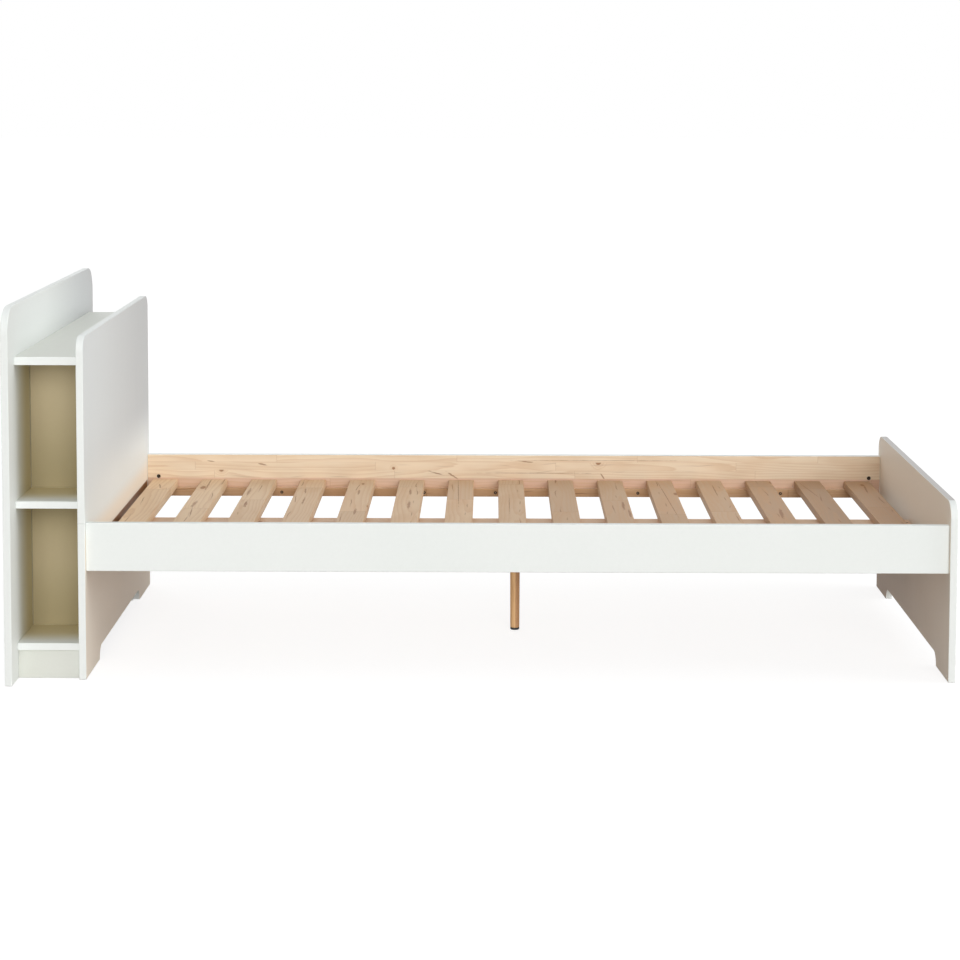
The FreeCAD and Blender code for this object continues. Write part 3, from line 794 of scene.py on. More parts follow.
@dataclass
class Board:
    """A flat board with eased edges that stands for one node of the frame.

    Its outline is a chain of arcs.  Its edge is a quarter round at both
    faces: at the angle t the outline is drawn in by ease times 1 - sin t, and
    lies ease times 1 - cos t below the face.  The low edge, with seam -1, or
    the high one, with seam 1, butts against another board and is sharper.
    """

    node: str
    flat: Axis
    ease: float = 1.2 * MM
    corner: float = 0.0
    arch: float = 0.0
    arch_rise: float = 29 * MM
    rounds: int = 3
    seam: int = 0
    fittings: tuple[str, ...] = ()
    hole_depth: float = 5 * MM
    flush: float = 0.3 * MM
    clearance: float = 0.2 * MM

    def holes(self, low: np.ndarray, high: np.ndarray, across: list[int]) -> list[Hole]:
        """The holes of the fittings whose ends lie in one of the board's faces.

        Args:
            low, high: the board's box.
            across: the two coordinates in the board's face.

        Returns:
            The holes.
        """
        third = self.flat.value
        found = []
        for bottom, top in (box for node in self.fittings for box in solids_of(node)):
            centre = ((bottom + top) / 2)[across]
            inside = np.all(centre > low[across]) and np.all(centre < high[across])
            in_high = abs(top[third] - high[third]) < self.flush
            in_low = abs(bottom[third] - low[third]) < self.flush
            if inside and (in_high or in_low):
                radius = float((top - bottom)[across].max() / 2) + self.clearance
                place = tuple(float(value) for value in centre)
                found.append(Hole(place, radius, self.hole_depth, bool(in_high)))
        return found

    def outline(self, low: np.ndarray, high: np.ndarray) -> list[Arc]:
        """The board's arcs, anticlockwise from its first corner.

        Args:
            low, high: the outline's box.

        Returns:
            The arcs.
        """
        small = 1.25 * self.ease
        large = self.corner or small
        steps = 18 if self.corner else 4
        (left, bottom), (right, top) = low, high
        arcs = [
            Arc((right - small, bottom + small), small, 270, 360),
            Arc((right - large, top - large), large, 0, 90, steps),
            Arc((left + large, top - large), large, 90, 180, steps),
            Arc((left + small, bottom + small), small, 180, 270),
        ]
        if self.arch:
            inner, rise = self.arch - self.arch_rise, self.arch_rise
            lean = math.degrees(math.asin(small / (rise + small)))
            reach = inner + math.sqrt((rise + small) ** 2 - small ** 2)
            arcs += [
                Arc((-reach, bottom + small), small, 270, 360 - lean),
                Arc((-inner, bottom), rise, 180 - lean, 90, 14),
                Arc((inner, bottom), rise, 90, lean, 14),
                Arc((reach, bottom + small), small, 180 + lean, 270),
            ]
        return arcs

    def shell(self) -> Shell:
        """The board's surface, with exact normals.

        Returns:
            The surface in the frame's place.
        """
        low, high = (np.array(corner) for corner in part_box(self.node))
        third, across = self.flat.value, self.flat.others
        arcs = self.outline(low[across], high[across])
        chain = [arc.points() for arc in arcs]
        outline = np.concatenate([points for points, _ in chain])
        outward = np.concatenate([normals for _, normals in chain])
        turns = np.linspace(0, math.pi / 2, self.rounds + 1)
        amount = self.ease * (1 - 0.8 * np.clip(self.seam * outward[:, 1], 0, 1))
        face = np.repeat([low[third], high[third]], len(turns))
        turns = np.concatenate([turns, turns[::-1]])
        side = np.repeat([-1.0, 1.0], len(turns) // 2)
        drawn, sunk = 1 - np.sin(turns), side * (np.cos(turns) - 1)
        lean, tilt = np.sin(turns), side * np.cos(turns)
        rows, columns = len(face), len(outline)
        points = np.zeros((rows, columns, 3))
        normals = np.zeros((rows, columns, 3))
        points[..., across] = outline - drawn[:, None, None] * (amount[:, None] * outward)
        points[..., third] = face[:, None] + sunk[:, None] * amount
        normals[..., across] = lean[:, None, None] * outward
        normals[..., third] = tilt[:, None]
        made = Shell(points.reshape(-1, 3), lattice(rows, columns) + ends(rows, columns),
                     normals.reshape(-1, 3), np.repeat(np.sin(2 * turns), columns))
        holes = self.holes(low, high, across)
        return self.drill(made, holes, rows, columns) if holes else made

    def drill(self, made: Shell, holes: list[Hole], rows: int, columns: int) -> Shell:
        """Swaps one face of the board for one with holes.

        Args:
            made: the plain board.
            holes: its holes, all in one face.
            rows, columns: the size of its lattice.

        Returns:
            The board with holes.
        """
        third, across = self.flat.value, self.flat.others
        high = holes[0].high
        ring = np.arange(columns) + (rows - 1) * columns * high
        face = HoledFace(made.points[ring][:, across], holes, len(made.points))
        face.build(ring)
        flat, lean = np.concatenate(face.points), np.concatenate(face.leans)
        outside = 1.0 if high else -1.0
        points, normals = np.zeros((len(flat), 3)), np.zeros((len(flat), 3))
        points[:, across] = flat
        points[:, third] = made.points[ring[0], third] - outside * np.concatenate(face.sunk)
        normals[:, across] = lean
        normals[:, third] = outside * (1 - np.linalg.norm(lean, axis=1))
        faces = made.faces[:-2] + [made.faces[-2 if high else -1]]
        faces += face.faces if high else [one[::-1] for one in face.faces]
        return Shell(np.concatenate([made.points, points]), faces, np.concatenate([made.normals, normals]),
                     np.concatenate([made.ease, np.zeros(len(flat))]))

    def piece(self, suffix: str, materials: Sequence[bpy.types.Material], slot: Slot,
              bare: tuple[Axis, int] | None = None) -> bpy.types.Object:
        """Makes the board's object, which stands for its node."""
        return make_piece(f"{self.node}_{suffix}", self.shell(), materials, [self.node], bare)


@dataclass
class Turned:
    """A turned piece: rings of a profile carried round an axis.

    Each row of the profile is a radius and a place along the axis.  A ring is
    round, or follows the driver recess where its recess share is 1.
    """

    profile: Sequence[tuple[float, float]]
    recess: Recess = Recess.NONE
    recess_rows: int = 0
    recess_radius: float = 0.0
    thread_from: float = 0.0
    thread_to: float = 0.0
    thread_pitch: float = 1.0 * MM
    thread_depth: float = 0.0
    flutes: int = 0
    flute_depth: float = 0.0
    sides: int = 48
    hollow: bool = False
    cross_width: float = 0.24
    blade_width: float = 0.15

    def angles(self) -> np.ndarray:
        """The angles of a ring's points, anticlockwise."""
        return np.linspace(0, 2 * math.pi, self.sides, endpoint=False)

    def recess_outline(self) -> np.ndarray:
        """The distance from the axis to the recess's wall at each angle.

        A hexagon's is the apothem over the cosine from the nearest flat's
        middle; a blade's is the nearer of its end and its side; a cross's is
        the larger of two blades at right angles.

        Returns:
            One distance for each angle.
        """
        turns = self.angles()

        def blade(offset: float, width: float) -> np.ndarray:
            """One blade's distances.

            Args:
                offset: the blade's angle.
                width: half its width as a share of its half length.

            Returns:
                One distance for each angle.
            """
            cosine, sine = (np.abs(wave(turns + offset)) + TINY for wave in (np.cos, np.sin))
            return np.minimum(self.recess_radius / cosine, width * self.recess_radius / sine)

        if self.recess is Recess.HEXAGON:
            sixth = math.pi / 3
            apothem = self.recess_radius * math.cos(sixth / 2)
            return apothem / np.cos(np.mod(turns, sixth) - sixth / 2)
        if self.recess is Recess.CROSS:
            return np.maximum(blade(0.0, self.cross_width), blade(math.pi / 2, self.cross_width))
        return blade(0.0, self.blade_width)

    def rings(self) -> tuple[np.ndarray, np.ndarray]:
        """The radii and levels of the rings, threads and flutes cut in.

        A thread lowers the radius by a triangle wave of the place along the
        axis less the angle, so that its ridge climbs one pitch in each turn.

        Returns:
            The radii, rings by angles, and the levels, one for each ring.
        """
        rows = np.array(self.profile, float)
        if self.thread_depth:
            count = int((self.thread_to - self.thread_from) / self.thread_pitch * 4)
            levels = np.linspace(self.thread_from, self.thread_to, count)
            core = np.interp(levels, rows[:, 1], rows[:, 0])
            before = rows[:, 1] < self.thread_from
            after = rows[:, 1] > self.thread_to
            rows = np.concatenate([rows[before], np.stack([core, levels], axis=1), rows[after]])
        turns = self.angles()
        radii = np.repeat(rows[:, :1], self.sides, axis=1)
        if self.thread_depth:
            phase = rows[:, 1:] / self.thread_pitch - turns[None, :] / (2 * math.pi)
            wave = 2 * np.abs(np.mod(phase, 1.0) - 0.5)
            cut = (rows[:, 1:] >= self.thread_from) & (rows[:, 1:] <= self.thread_to)
            radii = radii - np.where(cut, wave * self.thread_depth, 0.0)
        if self.flutes:
            full = rows[:, :1] >= rows[:, 0].max() - TINY
            groove = self.flute_depth * (0.5 + 0.5 * np.cos(self.flutes * turns)) ** 4
            radii = radii - np.where(full, groove[None, :], 0.0)
        if self.recess_rows:
            radii[:self.recess_rows] = self.recess_outline()[None, :]
        return radii, rows[:, 1]

    def shell(self, at: Point, axis: Axis, sign: int) -> Shell:
        """The turned surface in its place.

        Args:
            at: the frame's point where the profile's place is 0.
            axis: the direction that the profile runs in.
            sign: 1 to run up that axis and -1 to run down it.

        Returns:
            The surface.
        """
        radii, levels = self.rings()
        turns = self.angles()
        first, second = axis.others[::sign]
        points = np.zeros((*radii.shape, 3))
        points[..., first] = radii * np.cos(turns)
        points[..., second] = radii * np.sin(turns)
        points[..., axis.value] = sign * levels[:, None]
        points += np.array(at)
        faces = lattice(*radii.shape, closed=self.hollow)
        if not self.hollow:
            faces += ends(*radii.shape)
        return Shell(points.reshape(-1, 3), faces)


def solids_of(node: str) -> list[tuple[np.ndarray, np.ndarray]]:
    """The boxes of the separate solids in one node of the frame.

    Corners at the same place are one point; each point takes the lowest
    number among the points that it shares a triangle with, until nothing
    changes, and equal numbers are one solid.

    Args:
        node: the node's name.

    Returns:
        The lowest and highest corner of each solid.
    """
    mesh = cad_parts[node].data
    points = np.zeros(len(mesh.vertices) * 3, np.float32)
    mesh.vertices.foreach_get("co", points)
    points = points.reshape(-1, 3).astype(float)
    corners = np.zeros(len(mesh.loops), np.int32)
    mesh.loops.foreach_get("vertex_index", corners)
    _, same = np.unique(np.round(points / (0.01 * MM)).astype(int), axis=0, return_inverse=True)
    triangles = same.reshape(-1)[corners].reshape(-1, 3)
    labels = np.arange(triangles.max() + 1)
    settled = False
    while not settled:
        lowest = labels[triangles].min(axis=1)
        spread = labels.copy()
        np.minimum.at(spread, triangles.reshape(-1), np.repeat(lowest, 3))
        settled = bool(np.array_equal(spread, labels))
        labels = spread
    owner = labels[same.reshape(-1)]
    return [(points[owner == label].min(axis=0), points[owner == label].max(axis=0))
            for label in np.unique(owner)]


def make_piece(name: str, shell: Shell, materials: Sequence[bpy.types.Material],
               nodes: Sequence[str], bare: tuple[Axis, int] | None = None) -> bpy.types.Object:
    """Makes the object of one piece and ties it to the frame.

    Args:
        name: the piece's name.
        shell: its surface.
        materials: its finish, and a second one for its bare faces.
        nodes: the nodes that it stands for.
        bare: the side whose faces take the second finish.

    Returns:
        The object.
    """
    mesh = bpy.data.meshes.new(name)
    mesh.from_pydata(shell.points, [], shell.faces)
    for material in materials:
        mesh.materials.append(material)
    mesh.polygons.foreach_set("use_smooth", np.ones(len(mesh.polygons), bool))
    if bare:
        normals = np.zeros(len(mesh.polygons) * 3, np.float32)
        mesh.polygons.foreach_get("normal", normals)
        facing = normals.reshape(-1, 3)[:, bare[0].value] * bare[1] > BARE_LEAN
        mesh.polygons.foreach_set("material_index", facing.astype(np.int32))
    if shell.ease is not None:
        layer = mesh.attributes.new("ease", "FLOAT", "POINT")
        layer.data.foreach_set("value", shell.ease.astype(np.float32))
    mesh.update()
    if shell.normals is not None:
        mesh.normals_split_custom_set_from_vertices(shell.normals.tolist())
    else:
        mesh.set_sharp_from_angle(angle=math.radians(SHARP_DEGREES))
    made = put(name, mesh)
    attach(made, BODY)
    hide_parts(*nodes)
    return made


def put(name: str, data: bpy.types.ID, axes: Sequence[Sequence[float]] = (),
        place: Sequence[float] = (0.0, 0.0, 0.0)) -> bpy.types.Object:
    """Adds an object to the scene.

    Args:
        name: the object's name.
        data: its mesh, lamp or camera.
        axes: the directions of its own X, Y and Z; none leaves it unturned.
        place: where it stands; used with axes.

    Returns:
        The object.
    """
    made = bpy.data.objects.new(name, data)
    bpy.context.scene.collection.objects.link(made)
    if len(axes):
        turn = np.eye(4)
        turn[:3, :3], turn[:3, 3] = np.stack(axes, axis=1), place
        made.matrix_world = Matrix(turn.tolist())
    return made


def report(name: str, pieces: Sequence[bpy.types.Object]) -> None:
    """Logs the pieces of one sub-assembly."""
    for piece in pieces:
        logging.info("%s: %s, %d faces", name, piece.name, len(piece.data.polygons))


def middle_of(node: str) -> Point:
    """The middle of a node's box."""
    low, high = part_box(node)
    return tuple((low + high) / 2)


# --------------------------------------------------------------------------
# The bed
# --------------------------------------------------------------------------


@dataclass
class Headboard:
    """The bookcase: two upright panels with shelves between them."""

    back_corner: float = 60 * MM
    front_corner: float = 35 * MM
    arch: float = 305 * MM
    panel_ease: float = 1.4 * MM
    shelf_ease: float = 1.0 * MM
    # Inside the compartments the paint is cream, darkened further with painted shade.
    back_cream_and_shade: Colour = tint(200, 187, 150)
    side_cream_and_shade: Colour = tint(190, 175, 141)
    side_low_shade: Colour = tint(166, 152, 116)
    shelf_cream_and_shade: Colour = tint(213, 199, 160)
    plinth_shade_tone: Colour = tint(221, 223, 214)
    # Painted shade in the inside corner between a divider and the back.
    corner_shade_tone: Colour = tint(122, 110, 80)
    # Painted light and shade on the panels' faces that turn to the foot.
    upper_cool_shade: Colour = tint(228, 232, 232)
    ledge_shade_tone: Colour = tint(233, 235, 228)
    far_side_shade: Colour = tint(201, 203, 203)
    reflected_wood_light: Colour = tint(243, 232, 216)
    gap_shadow_tone: Colour = tint(146, 104, 70)

    def zones(self) -> dict[str, tuple[Zone, ...]]:
        """The zones of each finish, in the order in which they are laid; most of them paint light and shade.

        Returns:
            The zones, by the finish's name.
        """
        (back, _, _), (front, outside, _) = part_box("divider_far")
        shelf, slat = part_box("top_shelf"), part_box("slat_01")
        edge, half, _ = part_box("front_panel")[1]
        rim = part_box("plinth_far")[1][1] + 8 * MM
        bays = (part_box("bottom_shelf_far")[0][2] + 2 * MM, shelf[0][2] + MM)

        def inside(tone: Colour, fade: float = MM) -> Zone:
            """The open compartments' tone: cream paint darkened with painted shade, fading out towards the
            outside.
            """
            return Zone(tone, (back - MM, front + MM), (outside - 0.5 * MM, max(rim - fade, outside)), bays,
                        (MM, fade, MM))

        def face(tone: Colour, y: Range, z: Range, fade: Point, board: str = "front_panel",
                 mirrored: bool = True) -> Zone:
            """A zone on the face that a board turns to the foot of the bed."""
            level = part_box(board)[1][0]
            return Zone(tone, (level - MM, level + MM), y, z, fade, mirrored)

        # Painted shade: the lower part of each compartment's side is darker, with a dark line of painted
        # shade in the corner where it meets the back.
        shades = [Zone(self.side_low_shade, (back, front), (outside - 0.5 * MM, outside + MM),
                       (floor - MM, floor + 20 * MM), (MM, MM, 0.2))
                  for floor in (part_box(f"{name}_shelf_far")[1][2] for name in ("bottom", "middle"))]
        joint = Zone(self.corner_shade_tone, (back - MM, back + 1.2 * MM), (outside - MM, outside + MM),
                     (0.0, BEYOND))
        # Painted light on the panels' faces: painted shade makes them cooler above and greyer on the far
        # side, a painted warm cast stands for light reflected from the wood below the rails, and painted
        # shade darkens the gap beside the first slat.
        cool = face(self.upper_cool_shade, (-BEYOND, half - MM), (0.5, BEYOND), (MM, MM, 0.15))
        uppers = (("back_panel", shelf[0][2], 1.4, MM), ("front_panel", 0.5, 2.0, 0.12))
        far = [face(self.far_side_shade, (half, BEYOND), (low, BEYOND), (MM, reach * half, fade), board, False)
               for board, low, reach, fade in uppers]
        warm = face(self.reflected_wood_light, (-BEYOND, half - 2 * MM), (-BEYOND, 0.3), (MM, MM, 0.05))
        gap = Zone(self.gap_shadow_tone, (edge - 0.5 * MM, slat[1][0]), (-BEYOND, slat[1][1] - 4 * MM),
                   (slat[0][2] - 20 * MM, slat[1][2] - 3 * MM), (MM, MM, 4 * MM))
        # Painted shade: the top shelf's upper face is a little greyer than its edges.
        ledge = Zone(self.ledge_shade_tone, (shelf[0][0], shelf[1][0]),
                     (shelf[0][1] + 2 * MM, shelf[1][1] - 2 * MM), (shelf[1][2] - 0.5 * MM, BEYOND),
                     mirrored=False)
        return {
            "back panel": (inside(self.back_cream_and_shade, 0.14), far[0]),
            "front panel": (cool, far[1], gap),
            "head end": (warm, gap),
            "top shelf": (ledge,),
            "divider": (inside(self.side_cream_and_shade), *shades, joint),
            "middle_shelf": (inside(self.shelf_cream_and_shade, 0.11),),
            "bottom_shelf": (inside(self.shelf_cream_and_shade, 0.11),),
        }

    def build(self) -> list[bpy.types.Object]:
        """Makes the boards, from the back panel to the plinths, and dresses them.

        Returns:
            The objects.
        """
        paints = {name: Lacquer(f"{name} lacquer", zones=zones).material()
                  for name, zones in self.zones().items()}
        # The recessed plinths are greyer: painted shade under the bottom shelves.
        paints["plinth"] = Lacquer("plinth lacquer", colour=self.plinth_shade_tone).material()
        panel, shelf, cams = self.panel_ease, self.shelf_ease, ("cam_discs",)
        boards = [
            (Board("back_panel", Axis.X, panel, corner=self.back_corner), "back panel"),
            (Board("front_panel", Axis.X, panel, corner=self.front_corner, seam=-1), "front panel"),
            (Board("head_end_panel", Axis.X, panel, arch=self.arch, seam=1), "head end"),
            (Board("top_shelf", Axis.Z, shelf, fittings=cams), "top shelf"),
        ]
        for kind, flat, fittings in (("divider", Axis.Y, cams), ("middle_shelf", Axis.Z, cams),
                                     ("bottom_shelf", Axis.Z, cams), ("plinth", Axis.Y, ())):
            boards += [(Board(f"{kind}_{end}", flat, shelf, fittings=fittings), kind)
                       for end in ("near", "far")]
        return [board.piece("board", [paints[finish]], Slot.PAINT) for board, finish in boards]


@dataclass
class Footboard:
    """The low panel at the foot, on two feet with a floor arch."""

    corner: float = 40 * MM
    arch: float = 340 * MM
    ease: float = 1.4 * MM
    reflected_wood_light: Colour = tint(241, 230, 214)
    under_rail_shade: Colour = tint(160, 138, 118)
    top_face_shade: Colour = tint(206, 203, 200)

    def build(self) -> list[bpy.types.Object]:
        """Makes the footboard with painted light: a warm cast of light reflected from the wood on the bed's
        side, painted shade under the rails and grey painted shade on top.

        Returns:
            The object, in a list.
        """
        low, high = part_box("footboard")
        half, rail = high[1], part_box("side_rail_far")[0][2]
        inner = (low[0] - MM, low[0] + 0.5 * MM)
        # Painted light and shade on the footboard's faces.
        zones = (
            Zone(self.reflected_wood_light, inner, (-BEYOND, half - self.ease), (-BEYOND, BEYOND)),
            Zone(self.under_rail_shade, inner, (half, BEYOND), (-BEYOND, rail - 20 * MM),
                 (MM, 1.9 * half, 20 * MM), False),
            Zone(self.top_face_shade, (low[0] - MM, high[0] + MM), (-BEYOND, BEYOND), (high[2] - 0.2 * MM, BEYOND),
                 (MM, MM, 0.3 * MM)),
        )
        board = Board("footboard", Axis.X, self.ease, corner=self.corner, arch=self.arch)
        return [board.piece("board", [Lacquer("footboard lacquer", zones=zones).material()], Slot.PAINT)]


@dataclass
class Rails:
    """The two side rails, painted outside and bare inside, and their battens."""

    rail_ease: float = 1.8 * MM
    batten_ease: float = 1.2 * MM
    strip: float = 21.5 * MM
    block: float = 0.47
    pale: Colour = tint(234, 214, 187)
    # Painted shade: the rails' inner faces are pinker and darker below the slats' level.
    slat_shade_pink: Colour = tint(222, 184, 160)
    slat_shade_top: float = -7 * MM
    ring: Colour = tint(206, 168, 130)
    # The battens' sides take these darker pine tones: painted shade under the slats.
    dark: Colour = tint(214, 176, 138)
    darker: Colour = tint(196, 152, 112)
    marks: tuple[Mark, ...] = (
        Mark(-0.79, 0.036, 0.010, 0.0016, -7), Mark(-0.654, 0.028, 0.013, 0.0020, -11),
        Mark(-0.201, 0.006, 0.024, 0.0016, -16), Mark(-0.160, 0.0005, 0.017, 0.0022, -33),
        Mark(0.033, 0.037, 0.020, 0.0018, -4), Mark(0.071, 0.007, 0.154, 0.0007),
        Mark(0.232, -0.001, 0.009, 0.0020, -56), Mark(0.224, 0.0406, 0.209, 0.0006),
    )

    def build(self) -> list[bpy.types.Object]:
        """Makes rails and battens and dresses them.

        Returns:
            The objects.
        """
        made = []
        paint = Lacquer("rail lacquer", colour=tint(238, 242, 239)).material()
        # The battens' top faces take a paler pine: painted light on top, against the shaded sides.
        light = Pine("pine batten tops", Axis.X, Axis.Z, middle_of("batten_far"), seed=19, knots=0.1,
                     contrast=0.4).material()
        for seed, (side, inward) in enumerate((("near", 1), ("far", -1)), start=3):
            rail, batten = f"side_rail_{side}", f"batten_{side}"
            # Below the slats' level the bare pine takes the darker pink: painted shade.
            wood = Pine(f"pine {rail}", Axis.X, Axis.Y, middle_of(rail), early=self.slat_shade_pink,
                        second=self.pale, split=self.slat_shade_top, late=self.ring, depth=0.5, seed=seed,
                        knots=0.12, strip=self.strip, block=self.block, contrast=0.4,
                        marks=self.marks).material()
            board = Board(rail, Axis.Y, self.rail_ease, fittings=("barrel_nuts",))
            made.append(board.piece("board", [paint, wood], Slot.PAINT, (Axis.Y, inward)))
            # Darker pine on the batten's sides: painted shade.
            wood = Pine(f"pine {batten}", Axis.X, Axis.Y, middle_of(batten), seed=seed + 10, knots=0.2,
                        block=self.block, early=self.dark, blush=self.darker).material()
            board = Board(batten, Axis.Y, self.batten_ease, fittings=("wood_screws",), hole_depth=1.5 * MM)
            made.append(board.piece("strip", [wood, light], Slot.PINE, (Axis.Z, 1)))
        return made


@dataclass
class SlatBase:
    """The slats, the centre beam under them and the beam's blocks."""

    count: int = 15
    left: Colour = tint(230, 202, 168)
    # The slats grow darker towards the foot, up to this colour: painted shade.
    right: Colour = tint(184, 150, 120)
    marks: tuple[Mark, ...] = (
        Mark(0.350, -0.8321, 0.029, 0.0025, -10), Mark(0.366, -0.7108, 0.087, 0.0022, -1),
        Mark(0.102, -0.7134, 0.040, 0.0045, 2), Mark(-0.001, -0.7075, 0.064, 0.0016, -4),
        Mark(0.273, -0.5958, 0.049, 0.0035), Mark(0.102, -0.5868, 0.040, 0.0040, -2),
        Mark(0.286, -0.4540, 0.035, 0.0025, -4), Mark(0.149, -0.4480, 0.047, 0.0025),
        Mark(0.272, -0.3175, 0.035, 0.0030), Mark(0.011, -0.3124, 0.038, 0.0035),
        Mark(0.279, -0.1875, 0.042, 0.0030, -2), Mark(0.102, -0.1850, 0.053, 0.0040),
        Mark(0.271, -0.0657, 0.182, 0.0013, -1), Mark(0.118, 0.0621, 0.120, 0.0011),
        Mark(0.438, 0.1842, 0.030, 0.0022, 2), Mark(0.096, 0.3418, 0.059, 0.0035, 1),
        Mark(-0.002, 0.3520, 0.051, 0.0030), Mark(0.194, 0.4572, 0.259, 0.0013, -2),
        Mark(0.309, 0.5866, 0.085, 0.0016), Mark(-0.001, 0.7176, 0.064, 0.0045, 3),
        Mark(0.316, 0.8279, 0.107, 0.0014, -6), Mark(0.336, 0.9743, 0.057, 0.0024, 4),
    )
    slat_ease: float = 2.0 * MM
    beam_ease: float = 1.5 * MM

    def slat_wood(self) -> bpy.types.Material:
        """The slats' pine: each slat has its own rings, knots and tone, and painted shade darkens them
        towards the foot.

        Returns:
            The material.
        """
        (low, high), (after, _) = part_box("slat_01"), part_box("slat_02")
        pitch = after[0] - low[0]
        start = (low[0] + high[0]) / 2 - pitch / 2
        level = (low[2] + high[2]) / 2
        return Pine("slat pine", Axis.Y, Axis.Z, (0.0, 0.0, level), seed=7, pitch=pitch, start=start,
                    early=self.left, blush=self.right, depth=0.55, block=0.52, stretch=3.0, knots=0.5,
                    knot_cell=0.11, contrast=1.2, shade_trend=1 / (self.count - 1), marks=self.marks).material()

    def build(self) -> list[bpy.types.Object]:
        """Makes the slats, beam and blocks and dresses them.

        Returns:
            The objects.
        """
        wood = self.slat_wood()
        made = [Board(f"slat_{index:02d}", Axis.Z, self.slat_ease).piece("plank", [wood], Slot.PINE)
                for index in range(1, self.count + 1)]
        for node, flat, grain in (("centre_beam", Axis.Z, Axis.X), ("beam_block_head", Axis.X, Axis.Y),
                                  ("beam_block_foot", Axis.X, Axis.Y)):
            pine = Pine(f"pine {node}", grain, flat, middle_of(node), seed=21 + len(node)).material()
            board = Board(node, flat, self.beam_ease, fittings=("wood_screws",), hole_depth=MM)
            made.append(board.piece("timber", [pine], Slot.PINE))
        return made


@dataclass
class CentreLeg:
    """The turned leg under the beam and its black glide."""

    top_radius: float = 12 * MM
    foot_radius: float = 11 * MM
    chamfer: float = 1.0 * MM
    glide_edge: float = 2 * MM
    pin_radius: float = 2 * MM
    glide_height: float = 5.5 * MM
    sides: int = 64
    early: Colour = tint(250, 206, 152)
    # The half of the leg towards the footboard takes this darker colour: painted shade.
    second: Colour = tint(198, 153, 113)
    late: Colour = tint(206, 156, 106)

    def leg(self) -> bpy.types.Object:
        """The leg: a slow taper from beam to glide, with small chamfers.

        Returns:
            The object.
        """
        low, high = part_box("centre_leg")
        tall, edge = high[2] - low[2], self.chamfer
        rise = np.linspace(edge, tall - edge, 9)
        taper = self.foot_radius + (self.top_radius - self.foot_radius) * rise / tall
        profile = [(self.foot_radius - edge, 0.0), *zip(taper, rise), (self.top_radius - edge, tall)]
        axis = ((low + high) / 2)[0]
        shell = Turned(profile, sides=self.sides).shell((axis, 0.0, low[2]), Axis.Z, 1)
        # The darker second colour on the footboard side is painted shade.
        wood = Pine("leg wood", Axis.Z, Axis.Y, (axis + 1.5 * MM, 0.0, tall / 2), early=self.early,
                    second=self.second, late=self.late, knots=0.0, ring=3.2 * MM, depth=0.3, seed=31,
                    contrast=0.3).material()
        return make_piece("centre_leg_turned", shell, [wood], ["centre_leg"])

    def glide(self) -> bpy.types.Object:
        """The glide: a rounded disc with the pin that holds it in the leg.

        Returns:
            The object.
        """
        low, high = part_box("leg_glide")
        radius, edge, bevel = (high[0] - low[0]) / 2, self.glide_edge, 0.4 * MM
        turns = np.linspace(0, math.pi / 2, 6)
        sole = [(radius - edge + edge * math.sin(t), edge - edge * math.cos(t)) for t in turns]
        tall, top = high[2] - low[2], self.glide_height
        profile = [(0.6 * radius, 0.0), *sole, (radius, top - bevel), (radius - bevel, top),
                   (self.pin_radius, top), (self.pin_radius, tall - MM), (self.pin_radius - MM, tall)]
        middle = (low + high) / 2
        shell = Turned(profile, sides=self.sides).shell((middle[0], middle[1], low[2]), Axis.Z, 1)
        return make_piece("leg_glide_cap", shell, [Plastic().material()], ["leg_glide"])

    def build(self) -> list[bpy.types.Object]:
        """Makes the leg and its glide."""
        return [self.leg(), self.glide()]


def gather(node: str, make: Callable[[float, float], Turned], sink: float = 0.0, longest: bool = True,
           up: Callable[[Axis, np.ndarray], bool] = lambda axis, middle: True) -> Shell:
    """Turns every solid of a node.

    Args:
        node: the node.
        make: gives the turned piece for a solid's radius and length.
        sink: how far the piece's start lies inside the solid's end.
        longest: True where the axis is the solid's longest side, False where it is the shortest.
        up: tells from a solid's axis and middle whether it runs up that axis.

    Returns:
        One surface.
    """
    shells = []
    for low, high in solids_of(node):
        sizes, place = high - low, (low + high) / 2
        axis = Axis(int(np.argmax(sizes) if longest else np.argmin(sizes)))
        sign = 1 if up(axis, place) else -1
        place[axis.value] = (low if sign > 0 else high)[axis.value] + sign * sink
        made = make(sizes[1 if axis is Axis.X else 0] / 2, sizes[axis.value] - sink)
        shells.append(made.shell(tuple(place), axis, sign))
    return join_shells(shells)


